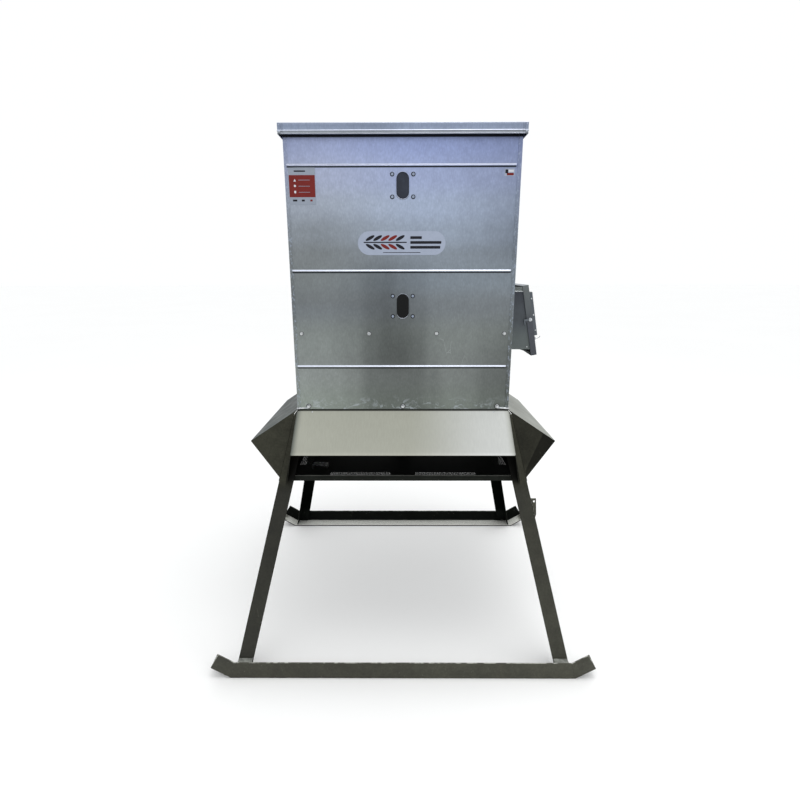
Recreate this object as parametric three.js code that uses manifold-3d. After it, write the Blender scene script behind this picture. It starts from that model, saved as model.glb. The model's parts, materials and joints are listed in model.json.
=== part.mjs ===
// Spin cast feeder: a tall galvanised feed hopper on a skid stand, with four awnings over a pan
// where a motor-driven disc throws the feed out to all sides.
// Millimetres, +Z up, -Y is the front. The origin is on the ground, under the hopper's centre.
import * as THREE from "three";
import { mergeVertices } from "three/addons/utils/BufferGeometryUtils.js";
import Module from "manifold-3d";

const wasm = await Module();
wasm.setup();

// ---------- Driving dimensions ----------
const GAP = 0.3; // clearance kept between neighbouring pieces
const SHEET = 1.6; // galvanised sheet of the hopper, lid and control box
const PLATE = 2; // painted sheet of the awnings and pan

const HOPPER = { halfWidth: 457, halfDepth: 354.4, bottom: 1096, top: 2206 };
const RIB = { heights: [1281.5, 1674, 2068], halfHeight: 8, proud: 4.6, endInset: 12 };
const CORNER_LAP = { width: 16, proud: SHEET };
const WINDOW = { heights: [1535, 1996.5], width: 50, height: 98, paneWidth: 104, paneHeight: 126, pane: 3 };

const LID = { halfWidth: 469, halfDepth: 386, top: 2211, skirt: 40 };
const LID_HINGE = { y: 392.5, z: 2176, barrel: 5.5, pin: 2.7, halfLength: 300, knuckles: 5 };

const FUNNEL = { wallHeight: 1438, throatHeight: 1118, halfThroat: 75, flange: 30, sheet: 2 };
const SPOUT = { radius: 50, wall: 2.5, bottom: 930, flangeTop: 1110, flangeThick: 3 };
const GATE = { halfWidth: 58, thick: 2, near: -236, far: -60, tab: 26 };

const ANGLE_LEG = 63.5; // flange of the leg's angle iron
const ANGLE_THICK = 5;
const FOOT = { x: 717, y: 680.5, z: 6.3 }; // outer heel of a leg where it stands on its skid
const HEAD = { x: 471, y: 365, z: 1075 }; // the same heel under the hopper's corner

const SKID = { halfStraight: 733, flange: 76, thick: 6, outerY: 687, tipLength: 96, tipAngle: 31.5 };

const PAN = { halfWidth: 524.8, halfDepth: 434.5, bottom: 793.5, rim: 24.5 };
const END_AWNING = { halfWidth: 457, top: [357, 1094], edge: [532, 948.5] }; // front and rear
const SIDE_AWNING = { halfWidth: 354.6, top: [457.6, 1094], edge: [672, 950] }; // left and right
const AWNING_LIP = 14;
const GUSSET_FOOT = 792; // height of the lowest corner of every gusset

const RAIL = { inner: 4, bottom: 1060, top: 1120 }; // base ring that the hopper drops over

const DOOR = { top: [564.5, 1615], bottom: [622, 1299], halfWidth: 145, depth: 27 };
const BOX = { halfWidth: 140, back: 457.4, floor: 1323, roof: 1605, mouthInset: 15 };
const DOOR_HINGE = { y: 151, barrel: 5, pin: 2.4, halfLength: 120, knuckles: 5 };
const LATCH = { x: -12, z: 6, boss: 8, thick: 3.5, reach: 28, hook: 5.5, drop: 18 };
const SOLAR = { halfWidth: 125, low: -74, high: 125, thick: 17.5 };
const BATTERY = { depth: 65, width: 151, height: 94 };
const TIMER = { depth: 30, width: 92, height: 112, bottom: 1446 };
const BUTTON = { radius: 5, spacing: 22, height: 1472, length: 8, proud: 3.5 };
const SWITCH = { height: 1528, ball: 4, stick: 2.2, reach: 15 };

const MOTOR = { radius: 29, bottom: 803, top: 865 };
const BRACKET = { halfWidth: 55, foot: 26, halfDepth: 36, top: 868.5, thick: 2.5 };
const SHAFT = { radius: 3, top: 902 };
const SPINNER = { radius: 108, hubRadius: 13, hub: 15, plateTop: 888, fin: 18, fins: 4 };

// ---------- Finishes ----------
const finish = (color, metalness, roughness) =>
  new THREE.MeshStandardMaterial({ color, metalness, roughness });
const FINISH = {
  galvanised: () => finish(0x9aa6b2, 0.85, 0.42),
  paint: () => finish(0x3e3c30, 0.25, 0.42),
  steel: () => finish(0x8d9196, 0.9, 0.35),
  pane: () => finish(0x14181a, 0.0, 0.12),
  box: () => finish(0x50565f, 0.4, 0.5),
  cell: () => finish(0x101a33, 0.2, 0.15),
  plastic: () => finish(0x1c1d1f, 0.0, 0.5),
  button: () => finish(0xb3372c, 0.0, 0.45),
};

// ---------- Solids ----------
const solid = (geometry) => {
  const bare = geometry.clone();
  bare.deleteAttribute("normal");
  bare.deleteAttribute("uv");
  const merged = mergeVertices(bare, 1e-3);
  return new wasm.Manifold(
    new wasm.Mesh({
      numProp: 3,
      vertProperties: new Float32Array(merged.attributes.position.array),
      triVerts: new Uint32Array(merged.index.array),
    }),
  );
};
const geometryOf = (manifold) => {
  const mesh = manifold.getMesh();
  const geometry = new THREE.BufferGeometry();
  geometry.setAttribute("position", new THREE.BufferAttribute(mesh.vertProperties, 3));
  geometry.setIndex(new THREE.BufferAttribute(mesh.triVerts, 1));
  return geometry;
};
const joined = (...pieces) =>
  geometryOf(pieces.map(solid).reduce((whole, piece) => whole.add(piece)));
const cutFrom = (base, ...tools) =>
  geometryOf(tools.map(solid).reduce((left, tool) => left.subtract(tool), solid(base)));

const slab = ([x0, x1], [y0, y1], [z0, z1]) =>
  new THREE.BoxGeometry(x1 - x0, y1 - y0, z1 - z0).translate((x0 + x1) / 2, (y0 + y1) / 2, (z0 + z1) / 2);

const outline = (points) => new THREE.Shape(points.map(([u, v]) => new THREE.Vector2(u, v)));
const extruded = (shape, depth) =>
  new THREE.ExtrudeGeometry(shape, { depth, bevelEnabled: false, curveSegments: 10 });

// A prism along X of an outline in (y, z), along Y of one in (x, z), or along Z of one in (x, y).
const X = new THREE.Vector3(1, 0, 0);
const Y = new THREE.Vector3(0, 1, 0);
const Z = new THREE.Vector3(0, 0, 1);
const alongX = (points, x0, x1) =>
  extruded(outline(points), x1 - x0)
    .applyMatrix4(new THREE.Matrix4().makeBasis(Y, Z, X))
    .translate(x0, 0, 0);
const alongY = (points, y0, y1) =>
  extruded(outline(points), y1 - y0)
    .applyMatrix4(new THREE.Matrix4().makeBasis(X, Z, Y.clone().negate()))
    .translate(0, y1, 0);
const alongZ = (points, z0, z1) => extruded(outline(points), z1 - z0).translate(0, 0, z0);

// The outline of a bent sheet: a line of bends, and the same line set off to its left.
const bentSheet = (bends, thickness) => {
  const points = bends.map(([u, v]) => new THREE.Vector2(u, v));
  const sides = points.slice(1).map((point, i) => {
    const along = point.clone().sub(points[i]).normalize();
    return new THREE.Vector2(-along.y, along.x);
  });
  const offset = points.map((point, i) => {
    const before = sides[Math.max(i - 1, 0)];
    const after = sides[Math.min(i, sides.length - 1)];
    const mitre = before.clone().add(after).normalize();
    return point.clone().addScaledVector(mitre, thickness / mitre.dot(before));
  });
  return [...points, ...offset.reverse()].map((point) => point.toArray());
};

const rod = (radius, from, to, segments = 32) => {
  const start = new THREE.Vector3(...from);
  const along = new THREE.Vector3(...to).sub(start);
  const turn = new THREE.Quaternion().setFromUnitVectors(Y, along.clone().normalize());
  const middle = start.clone().addScaledVector(along, 0.5);
  return new THREE.CylinderGeometry(radius, radius, along.length(), segments)
    .applyQuaternion(turn)
    .translate(middle.x, middle.y, middle.z);
};

// A flat plate whose one face is the convex polygon of corners, in 3-D, and the other is set off by offset.
const plate = (corners, offset) => {
  const count = corners.length;
  const face = corners.map((corner) => new THREE.Vector3(...corner));
  const push = new THREE.Vector3(...offset);
  const normal = face[1].clone().sub(face[0]).cross(face[2].clone().sub(face[0]));
  if (normal.dot(push) > 0) face.reverse();
  const vertices = [...face, ...face.map((corner) => corner.clone().add(push))];
  const triangles = [];
  for (let i = 1; i < count - 1; i++) {
    triangles.push(0, i, i + 1, count, count + i + 1, count + i);
  }
  for (let i = 0; i < count; i++) {
    const next = (i + 1) % count;
    triangles.push(i, count + i, next, next, count + i, count + next);
  }
  return new THREE.BufferGeometry().setFromPoints(vertices).setIndex(triangles);
};

const obround = (width, height, y0, y1, zMiddle) => {
  const radius = width / 2;
  const straight = height / 2 - radius;
  const shape = new THREE.Shape();
  shape.absarc(0, straight, radius, 0, Math.PI);
  shape.absarc(0, -straight, radius, Math.PI, 2 * Math.PI);
  return extruded(shape, y1 - y0)
    .applyMatrix4(new THREE.Matrix4().makeBasis(X, Z, Y.clone().negate()))
    .translate(0, y1, zMiddle);
};

const feeder = new THREE.Group();
const add = (name, geometry, material, parent = feeder) => {
  const mesh = new THREE.Mesh(geometry, material);
  mesh.name = name;
  parent.add(mesh);
  return mesh;
};
const SIDES = { left: -1, right: 1 };
const ENDS = { front: -1, rear: 1 };

// ---------- Stand: two skids and four raked legs ----------
const skid = (outward) => {
  const tip = THREE.MathUtils.degToRad(SKID.tipAngle);
  const reach = SKID.halfStraight + SKID.tipLength * Math.cos(tip);
  const rise = SKID.tipLength * Math.sin(tip);
  const runner = [[-reach, rise], [-SKID.halfStraight, 0], [SKID.halfStraight, 0], [reach, rise]];
  const across = (depth) => [outward * SKID.outerY, outward * (SKID.outerY - depth)].sort((a, b) => a - b);
  return joined(
    alongY(bentSheet(runner, SKID.flange), ...across(SKID.thick)),
    alongY(bentSheet(runner, SKID.thick), ...across(SKID.flange)),
  );
};
for (const [end, outward] of Object.entries(ENDS)) add(`${end}_skid`, skid(outward), FINISH.paint());

const rake = {
  x: (FOOT.x - HEAD.x) / (HEAD.z - FOOT.z),
  y: (FOOT.y - HEAD.y) / (HEAD.z - FOOT.z),
};
const heelX = (z) => FOOT.x - rake.x * (z - FOOT.z);
const heelY = (z) => FOOT.y - rake.y * (z - FOOT.z);

const leg = () => {
  const [f, t] = [ANGLE_LEG, ANGLE_THICK];
  const section = [[0, 0], [0, -f], [-t, -f], [-t, -t], [-f, -t], [-f, 0]];
  const lean = new THREE.Matrix4().set(1, 0, -rake.x, 0, 0, 1, -rake.y, 0, 0, 0, 1, 0, 0, 0, 0, 1);
  return alongZ(section, 0, HEAD.z - FOOT.z).applyMatrix4(lean).translate(FOOT.x, FOOT.y, FOOT.z);
};

// Gussets close the corners between a leg and the awnings: one beside each end awning, one beside
// each side awning. These are the ones at the right rear corner; the rest are mirrored.
const WELD = 0.5;
const endGusset = () => {
  const inner = END_AWNING.halfWidth + GAP;
  const legTop = 1090;
  const [edgeY, edgeZ] = END_AWNING.edge;
  const awningRun = (edgeY - END_AWNING.top[0]) / (END_AWNING.top[1] - edgeZ);
  const topY = heelY(legTop) + WELD;
  const topZ = END_AWNING.top[1] - (topY - END_AWNING.top[0]) / awningRun;
  return plate(
    [
      [inner, topY, topZ],
      [inner, edgeY - 1, edgeZ + 0.5],
      [heelX(GUSSET_FOOT) - 38, heelY(GUSSET_FOOT) + WELD, GUSSET_FOOT],
    ],
    [PLATE, 0, 0],
  );
};
const sideGusset = () => {
  const top = new THREE.Vector3(SIDE_AWNING.top[0] + 0.6, SIDE_AWNING.halfWidth + GAP + PLATE, 1093);
  const tip = new THREE.Vector3(SIDE_AWNING.edge[0], top.y, SIDE_AWNING.edge[1]);
  const foot = new THREE.Vector3(heelX(GUSSET_FOOT) + WELD, top.y + 53, GUSSET_FOOT);
  const face = new THREE.Plane().setFromCoplanarPoints(top, tip, foot);
  const knee = new THREE.Vector3(heelX(HEAD.z) + 2 * WELD, 0, HEAD.z + WELD);
  knee.y = -(face.normal.dot(knee) + face.constant) / face.normal.y;
  return plate([top, tip, foot, knee].map((corner) => corner.toArray()), [0, -PLATE, 0]);
};

for (const [end, outward] of Object.entries(ENDS)) {
  for (const [side, across] of Object.entries(SIDES)) {
    const mirror = [across, outward, 1];
    add(`${end}_${side}_leg`, leg(), FINISH.paint()).scale.set(...mirror);
    add(`${end}_${side}_end_gusset`, endGusset(), FINISH.paint()).scale.set(...mirror);
    add(`${end}_${side}_side_gusset`, sideGusset(), FINISH.paint()).scale.set(...mirror);
  }
}

// A lug with a hole, welded to the outside of the right front leg, takes a tie-down chain.
const lugCorner = (z, out) => [heelX(z) + WELD + out, -heelY(z), z];
add(
  "tie_down_lug",
  cutFrom(
    plate([lugCorner(650, 0), lugCorner(662, 7), lugCorner(727, 22), lugCorner(727, 0)], [0, ANGLE_THICK, 0]),
    rod(4.5, [heelX(715) + 11, -500, 715], [heelX(715) + 11, -440, 715], 16),
  ),
  FINISH.paint(),
);

// ---------- Base: ring, awnings and pan ----------
// Each ring rail stands inside the hopper's wall and reaches out to the legs.
const railOutline = (inside, outside) =>
  bentSheet([[inside, RAIL.top], [inside, RAIL.bottom], [outside, RAIL.bottom]], RAIL.inner);
for (const [end, outward] of Object.entries(ENDS)) {
  const inside = HOPPER.halfDepth - SHEET - GAP - RAIL.inner;
  const outside = heelY(RAIL.bottom + RAIL.inner) - ANGLE_THICK - WELD;
  const rail = alongX(railOutline(inside, outside), -454, 454);
  add(`${end}_base_rail`, rail, FINISH.paint()).scale.y = outward;
}
for (const [side, across] of Object.entries(SIDES)) {
  const inside = HOPPER.halfWidth - SHEET - GAP - RAIL.inner;
  const outside = heelX(RAIL.bottom + RAIL.inner) - ANGLE_THICK - WELD;
  const rail = alongY(railOutline(inside, outside), -347, 347);
  add(`${side}_base_rail`, rail, FINISH.paint()).scale.x = across;
}

const awningOutline = ({ top, edge }) =>
  bentSheet([[edge[0] - AWNING_LIP, edge[1] - PLATE], [edge[0], edge[1] - PLATE], edge, top], PLATE);
for (const [end, outward] of Object.entries(ENDS)) {
  const awning = alongX(awningOutline(END_AWNING), -END_AWNING.halfWidth, END_AWNING.halfWidth);
  add(`${end}_awning`, awning, FINISH.paint()).scale.y = outward;
}
for (const [side, across] of Object.entries(SIDES)) {
  const awning = alongY(awningOutline(SIDE_AWNING), -SIDE_AWNING.halfWidth, SIDE_AWNING.halfWidth);
  add(`${side}_awning`, awning, FINISH.paint()).scale.x = across;
}

const symmetric = (half) => [-half, half];
add(
  "feed_pan",
  cutFrom(
    slab(symmetric(PAN.halfWidth), symmetric(PAN.halfDepth), [PAN.bottom, PAN.bottom + PAN.rim]),
    slab(
      symmetric(PAN.halfWidth - PLATE),
      symmetric(PAN.halfDepth - PLATE),
      [PAN.bottom + PLATE, PAN.bottom + 2 * PAN.rim],
    ),
  ),
  FINISH.paint(),
);

// A bridge-shaped clip stands on the pan's floor near its left front corner.
const panFloor = PAN.bottom + PLATE + GAP;
add(
  "pan_tab",
  alongY(
    bentSheet([[-412, panFloor], [-412, panFloor + 17], [-350, panFloor + 13], [-350, panFloor]], 3),
    -300,
    -264,
  ),
  FINISH.steel(),
);

// ---------- Hopper: four ribbed walls, two sight windows, a four-sided funnel ----------
const wallHeight = [HOPPER.bottom, HOPPER.top];
const ribOutline = (face, z) => {
  const { halfHeight, proud } = RIB;
  return [[face - 0.5, z - halfHeight], [face + proud, z - halfHeight / 2],
    [face + proud, z + halfHeight / 2], [face - 0.5, z + halfHeight]];
};
const endWall = () => {
  const face = HOPPER.halfDepth;
  const lap = [HOPPER.halfWidth - CORNER_LAP.width, HOPPER.halfWidth];
  const laps = [lap, lap.map((x) => -x).reverse()];
  const ribReach = HOPPER.halfWidth - RIB.endInset;
  return joined(
    slab(symmetric(HOPPER.halfWidth), [face - SHEET, face], wallHeight),
    ...laps.map((x) => slab(x, [face - 0.5, face + CORNER_LAP.proud], wallHeight)),
    ...RIB.heights.map((z) => alongX(ribOutline(face, z), -ribReach, ribReach)),
  );
};
const sideWall = () => {
  const face = HOPPER.halfWidth;
  const halfDepth = HOPPER.halfDepth - SHEET - GAP;
  const ribReach = HOPPER.halfDepth - RIB.endInset;
  return joined(
    slab([face - SHEET, face], symmetric(halfDepth), wallHeight),
    ...RIB.heights.map((z) => alongY(ribOutline(face, z), -ribReach, ribReach)),
  );
};
const windowCut = (z) =>
  obround(WINDOW.width, WINDOW.height, HOPPER.halfDepth - 10, HOPPER.halfDepth + 10, z);
add(
  "hopper_front",
  cutFrom(endWall(), ...WINDOW.heights.map(windowCut)),
  FINISH.galvanised(),
).scale.y = -1;
add("hopper_rear", endWall(), FINISH.galvanised());
for (const [side, across] of Object.entries(SIDES)) {
  add(`hopper_${side}`, sideWall(), FINISH.galvanised()).scale.x = across;
}
["lower_window", "upper_window"].forEach((name, i) => {
  const outer = -(HOPPER.halfDepth - SHEET - GAP);
  const half = WINDOW.paneHeight / 2;
  const middle = WINDOW.heights[i];
  const heights = [middle - half, middle + half];
  const pane = slab(symmetric(WINDOW.paneWidth / 2), [outer, outer + WINDOW.pane], heights);
  add(name, pane, FINISH.pane());
});

// Funnel plates: trapezoids in plan that meet at the hips, each with a flange down the wall.
const HIP_GAP = 0.6;
const funnelPlate = (wallHalfRun, wallDistance) => {
  const { halfThroat, wallHeight: high, throatHeight: low, flange, sheet } = FUNNEL;
  const wide = wallHalfRun - HIP_GAP;
  const narrow = halfThroat - HIP_GAP;
  const slope = plate(
    [
      [-wide, wallDistance, high],
      [wide, wallDistance, high],
      [narrow, halfThroat, low],
      [-narrow, halfThroat, low],
    ],
    [0, 0, -sheet],
  );
  const reach = wallHalfRun - 12;
  return joined(
    slope,
    slab([-reach, reach], [wallDistance - sheet, wallDistance], [high - sheet - flange, high - sheet / 2]),
  );
};
const innerDepth = HOPPER.halfDepth - SHEET - GAP;
const innerWidth = HOPPER.halfWidth - SHEET - GAP;
for (const [end, outward] of Object.entries(ENDS)) {
  add(`${end}_funnel_plate`, funnelPlate(innerWidth, innerDepth), FINISH.galvanised()).scale.y = outward;
}
for (const [side, across] of Object.entries(SIDES)) {
  const quarterTurn = (-across * Math.PI) / 2;
  const sidePlate = add(`${side}_funnel_plate`, funnelPlate(innerDepth, innerWidth), FINISH.galvanised());
  sidePlate.rotation.z = quarterTurn;
}

// The spout hangs under the funnel's throat. The gate slides on its flange between two rails.
const bore = rod(SPOUT.radius, [0, 0, SPOUT.bottom - 20], [0, 0, SPOUT.flangeTop + 20]);
const flangeZ = [SPOUT.flangeTop - SPOUT.flangeThick, SPOUT.flangeTop];
const gateRail = (across) =>
  slab(
    [across * (GATE.halfWidth + WELD), across * (GATE.halfWidth + 30)].sort((a, b) => a - b),
    symmetric(120),
    [SPOUT.flangeTop - 1, SPOUT.flangeTop + 5],
  );
add(
  "feed_spout",
  cutFrom(
    joined(
      slab(symmetric(GATE.halfWidth + 30), symmetric(120), flangeZ),
      rod(SPOUT.radius + SPOUT.wall, [0, 0, SPOUT.bottom], [0, 0, SPOUT.flangeTop - 1]),
      ...Object.values(SIDES).map(gateRail),
    ),
    bore,
  ),
  FINISH.galvanised(),
);
const gateZ = SPOUT.flangeTop + GAP;
add(
  "slide_gate",
  alongX(
    bentSheet(
      [[GATE.near, gateZ - GATE.tab], [GATE.near, gateZ + GATE.thick], [GATE.far, gateZ + GATE.thick]],
      -GATE.thick,
    ),
    -GATE.halfWidth,
    GATE.halfWidth,
  ),
  FINISH.steel(),
);

// ---------- Caster: motor in a hat bracket, shaft, hub and finned disc ----------
const bracketOutline = () => {
  const { halfWidth, foot, top, thick } = BRACKET;
  const feet = panFloor + thick;
  return bentSheet(
    [[-halfWidth - foot, feet], [-halfWidth, feet], [-halfWidth, top], [halfWidth, top], [halfWidth, feet],
      [halfWidth + foot, feet]],
    -thick,
  );
};
add(
  "motor_bracket",
  cutFrom(
    alongY(bracketOutline(), -BRACKET.halfDepth, BRACKET.halfDepth),
    rod(SHAFT.radius + 2, [0, 0, BRACKET.top - 10], [0, 0, BRACKET.top + 10], 20),
  ),
  FINISH.steel(),
);
add("motor", rod(MOTOR.radius, [0, 0, MOTOR.bottom], [0, 0, MOTOR.top]), FINISH.steel());
add("motor_shaft", rod(SHAFT.radius, [0, 0, MOTOR.top + GAP], [0, 0, SHAFT.top], 20), FINISH.steel());

const hubBottom = BRACKET.top + 2;
const shaftHole = rod(SHAFT.radius + GAP, [0, 0, hubBottom - 20], [0, 0, SHAFT.top + 20], 20);
add(
  "spinner_hub",
  cutFrom(rod(SPINNER.hubRadius, [0, 0, hubBottom], [0, 0, hubBottom + SPINNER.hub]), shaftHole),
  FINISH.steel(),
);
const fin = (index) => {
  const turn = (index * 2 * Math.PI) / SPINNER.fins;
  const heights = [SPINNER.plateTop - 1, SPINNER.plateTop + SPINNER.fin];
  return slab([14, SPINNER.radius - 1], [-1, 1], heights).rotateZ(turn);
};
add(
  "spinner_plate",
  cutFrom(
    joined(
      rod(SPINNER.radius, [0, 0, SPINNER.plateTop - PLATE], [0, 0, SPINNER.plateTop], 48),
      ...Array.from({ length: SPINNER.fins }, (_, index) => fin(index)),
    ),
    shaftHole,
  ),
  FINISH.galvanised(),
);

// ---------- Hinges: a leaf with every second knuckle, its mate with the others, and a pin ----------
const KNUCKLE_PLAY = 0.8;
const knuckles = ({ barrel, halfLength, knuckles: count }, first, along, grown = 0) => {
  const pitch = (2 * halfLength) / count;
  const rods = [];
  for (let i = first; i < count; i += 2) {
    const start = -halfLength + i * pitch;
    const ends = [start + WELD / 2 - grown, start + pitch - WELD / 2 + grown];
    rods.push(rod(barrel + grown, ...ends.map(along), 20));
  }
  return rods;
};
const leaf = (hinge, first, along, flat, pinHole) => {
  const room = knuckles(hinge, 1 - first, along, KNUCKLE_PLAY);
  return cutFrom(joined(cutFrom(flat, ...room), ...knuckles(hinge, first, along)), pinHole);
};

// Lid, hinged along the top of the rear wall.
const lidSkirt = [LID.top - LID.skirt, LID.top];
add(
  "lid",
  cutFrom(
    slab(symmetric(LID.halfWidth), symmetric(LID.halfDepth), lidSkirt),
    slab(
      symmetric(LID.halfWidth - SHEET),
      symmetric(LID.halfDepth - SHEET),
      [LID.top - 2 * LID.skirt, LID.top - SHEET],
    ),
  ),
  FINISH.galvanised(),
);
const lidLine = (x) => [x, LID_HINGE.y, LID_HINGE.z];
const lidBoreEnd = LID_HINGE.halfLength + 20;
const lidBore = rod(LID_HINGE.pin + GAP, lidLine(-lidBoreEnd), lidLine(lidBoreEnd), 20);
const lidLeaf = (bends, first) => {
  const flat = alongX(bentSheet(bends, PLATE), ...symmetric(LID_HINGE.halfLength - 1));
  return leaf(LID_HINGE, first, lidLine, flat, lidBore);
};
add(
  "lid_hinge_wall_leaf",
  lidLeaf(
    [
      [LID_HINGE.y - 1, LID_HINGE.z - 4],
      [LID_HINGE.y - 1, LID_HINGE.z - 28],
      [HOPPER.halfDepth + GAP, LID_HINGE.z - 28],
      [HOPPER.halfDepth + GAP, LID_HINGE.z - 66],
    ],
    0,
  ),
  FINISH.steel(),
);
add(
  "lid_hinge_lid_leaf",
  lidLeaf([[LID.halfDepth + GAP + PLATE, LID_HINGE.z], [LID.halfDepth + GAP + PLATE, LID_HINGE.z + 26]], 1),
  FINISH.steel(),
);
add(
  "lid_hinge_pin",
  rod(LID_HINGE.pin, lidLine(-LID_HINGE.halfLength - 4), lidLine(LID_HINGE.halfLength + 4), 20),
  FINISH.steel(),
);

// ---------- Control box on the right wall, with a sloping door ----------
const doorTop = new THREE.Vector2(...DOOR.top);
const doorBottom = new THREE.Vector2(...DOOR.bottom);
const doorMiddle = doorTop.clone().add(doorBottom).multiplyScalar(0.5);
const doorLength = doorTop.distanceTo(doorBottom);
const doorDown = doorBottom.clone().sub(doorTop).normalize();
const doorOut = new THREE.Vector2(-doorDown.y, doorDown.x);
const onMouth = (corner, down) =>
  corner.clone().addScaledVector(doorOut, -BOX.mouthInset).addScaledVector(doorDown, down).toArray();

const mouthTop = onMouth(doorTop, 14);
const mouthBottom = onMouth(doorBottom, -6);
const floorEnd = [542, BOX.floor];
const sideBottom = [mouthBottom[0] - 4, BOX.floor];
const boxShell = alongY(
  bentSheet([mouthBottom, floorEnd, [BOX.back, BOX.floor], [BOX.back, BOX.roof], mouthTop], -SHEET),
  -BOX.halfWidth,
  BOX.halfWidth,
);
const boxSide = [[BOX.back, BOX.floor], sideBottom, mouthTop, [BOX.back, BOX.roof]];
const keeper = doorMiddle
  .clone()
  .addScaledVector(doorOut, LATCH.x - LATCH.reach + LATCH.hook + 3.7)
  .addScaledVector(doorDown, 7.5 - LATCH.z);
add(
  "control_box",
  joined(
    boxShell,
    alongY(boxSide, -BOX.halfWidth, -BOX.halfWidth + SHEET),
    alongY(boxSide, BOX.halfWidth - SHEET, BOX.halfWidth),
    rod(2.5, [keeper.x, 1 - BOX.halfWidth, keeper.y], [keeper.x, -11 - BOX.halfWidth, keeper.y], 16),
  ),
  FINISH.box(),
);
add(
  "battery",
  slab(
    [BOX.back + SHEET + 3, BOX.back + SHEET + 3 + BATTERY.depth],
    symmetric(BATTERY.width / 2),
    [BOX.floor + SHEET + GAP, BOX.floor + SHEET + GAP + BATTERY.height],
  ),
  FINISH.plastic(),
);

// Timer on the box's back wall, with three push buttons and a toggle switch in pockets.
const timerBack = BOX.back + SHEET + GAP;
const timerFace = timerBack + TIMER.depth;
const pocket = (radius, y, z, depth) => rod(radius, [timerFace - depth, y, z], [timerFace + 5, y, z], 20);
const buttonPlaces = [-1, 0, 1].map((step) => step * BUTTON.spacing);
const buttonBack = timerFace + BUTTON.proud - BUTTON.length;
add(
  "timer",
  cutFrom(
    slab([timerBack, timerFace], symmetric(TIMER.width / 2), [TIMER.bottom, TIMER.bottom + TIMER.height]),
    ...buttonPlaces.map((y) => pocket(BUTTON.radius + 0.5, y, BUTTON.height, timerFace - buttonBack + 2)),
    pocket(SWITCH.ball + 2.5, 0, SWITCH.height, 9),
  ),
  FINISH.plastic(),
);
["set_button", "test_button", "mode_button"].forEach((name, i) => {
  const y = buttonPlaces[i];
  const ends = [buttonBack, timerFace + BUTTON.proud].map((x) => [x, y, BUTTON.height]);
  add(name, rod(BUTTON.radius, ...ends, 20), FINISH.button());
});
const switchPivot = [timerFace - 4, 0, SWITCH.height];
add(
  "power_switch",
  joined(
    new THREE.SphereGeometry(SWITCH.ball, 16, 10).translate(...switchPivot),
    rod(SWITCH.stick, switchPivot, [switchPivot[0] + SWITCH.reach, 0, SWITCH.height - 4], 12),
  ),
  FINISH.steel(),
);

// The door and what is on it are laid out in the door's own frame: x out of its face, z up along it.
const door = new THREE.Group();
door.position.set(doorMiddle.x, 0, doorMiddle.y);
door.rotation.y = -Math.atan2(doorOut.y, doorOut.x);
feeder.add(door);
const half = doorLength / 2;
add(
  "control_door",
  cutFrom(
    slab([-DOOR.depth, 0], symmetric(DOOR.halfWidth), symmetric(half)),
    slab([-2 * DOOR.depth, -SHEET], symmetric(DOOR.halfWidth - SHEET), symmetric(half - SHEET)),
  ),
  FINISH.box(),
  door,
);
add(
  "solar_panel",
  slab([GAP, GAP + SOLAR.thick], symmetric(SOLAR.halfWidth), [SOLAR.low, SOLAR.high]),
  FINISH.cell(),
  door,
);
// A wire hook under the solar panel keeps its lead off the door.
const hookRun = new THREE.CatmullRomCurve3(
  [[3, -137, -84], [12, -137, -86], [22, -137, -84], [27, -137, -78]]
    .map((point) => new THREE.Vector3(...point)),
);
add(
  "lead_hook",
  joined(
    new THREE.ExtrudeGeometry(new THREE.Shape().absarc(0, 0, 1.6, 0, 2 * Math.PI), {
      extrudePath: hookRun,
      steps: 14,
      curveSegments: 5,
    }),
    slab([GAP, 4], [-142, -132], [-92, -78]),
  ),
  FINISH.steel(),
  door,
);

const doorLine = (z) => [-DOOR.depth, DOOR_HINGE.y, z];
const doorBore = rod(DOOR_HINGE.pin + GAP, doorLine(-200), doorLine(200), 20);
const doorLeaf = (bends, first) => {
  const flat = alongZ(bentSheet(bends, SHEET), ...symmetric(DOOR_HINGE.halfLength - 1));
  return leaf(DOOR_HINGE, first, doorLine, flat, doorBore);
};
const boxFace = BOX.halfWidth + GAP;
const doorFace = DOOR.halfWidth + GAP;
add(
  "door_hinge_box_leaf",
  doorLeaf(
    [[-DOOR.depth - 40, boxFace], [-DOOR.depth - 13, boxFace], [-DOOR.depth - 3, DOOR_HINGE.y - 1]],
    0,
  ),
  FINISH.steel(),
  door,
);
add(
  "door_hinge_door_leaf",
  doorLeaf([[-DOOR.depth, doorFace], [-4, doorFace]], 1),
  FINISH.steel(),
  door,
);
add(
  "door_hinge_pin",
  rod(DOOR_HINGE.pin, doorLine(-DOOR_HINGE.halfLength - 5), doorLine(DOOR_HINGE.halfLength + 5), 20),
  FINISH.steel(),
  door,
);

// Hook latch on the door's front return: its arm drops behind the keeper peg on the box.
const latchFace = [-DOOR.halfWidth - GAP - LATCH.thick, -DOOR.halfWidth - GAP];
add(
  "door_latch",
  joined(
    rod(LATCH.boss, [LATCH.x, latchFace[0] - 2, LATCH.z], [LATCH.x, latchFace[1], LATCH.z], 24),
    slab([LATCH.x - LATCH.reach, LATCH.x], latchFace, [LATCH.z - 4, LATCH.z + 5]),
    slab(
      [LATCH.x - LATCH.reach, LATCH.x - LATCH.reach + LATCH.hook],
      latchFace,
      [LATCH.z - LATCH.drop, LATCH.z],
    ),
    slab([LATCH.x, LATCH.x + 6], [latchFace[0] - 9, latchFace[1]], [LATCH.z - 5, LATCH.z + 5]),
  ),
  FINISH.steel(),
  door,
);

export default feeder;
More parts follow.
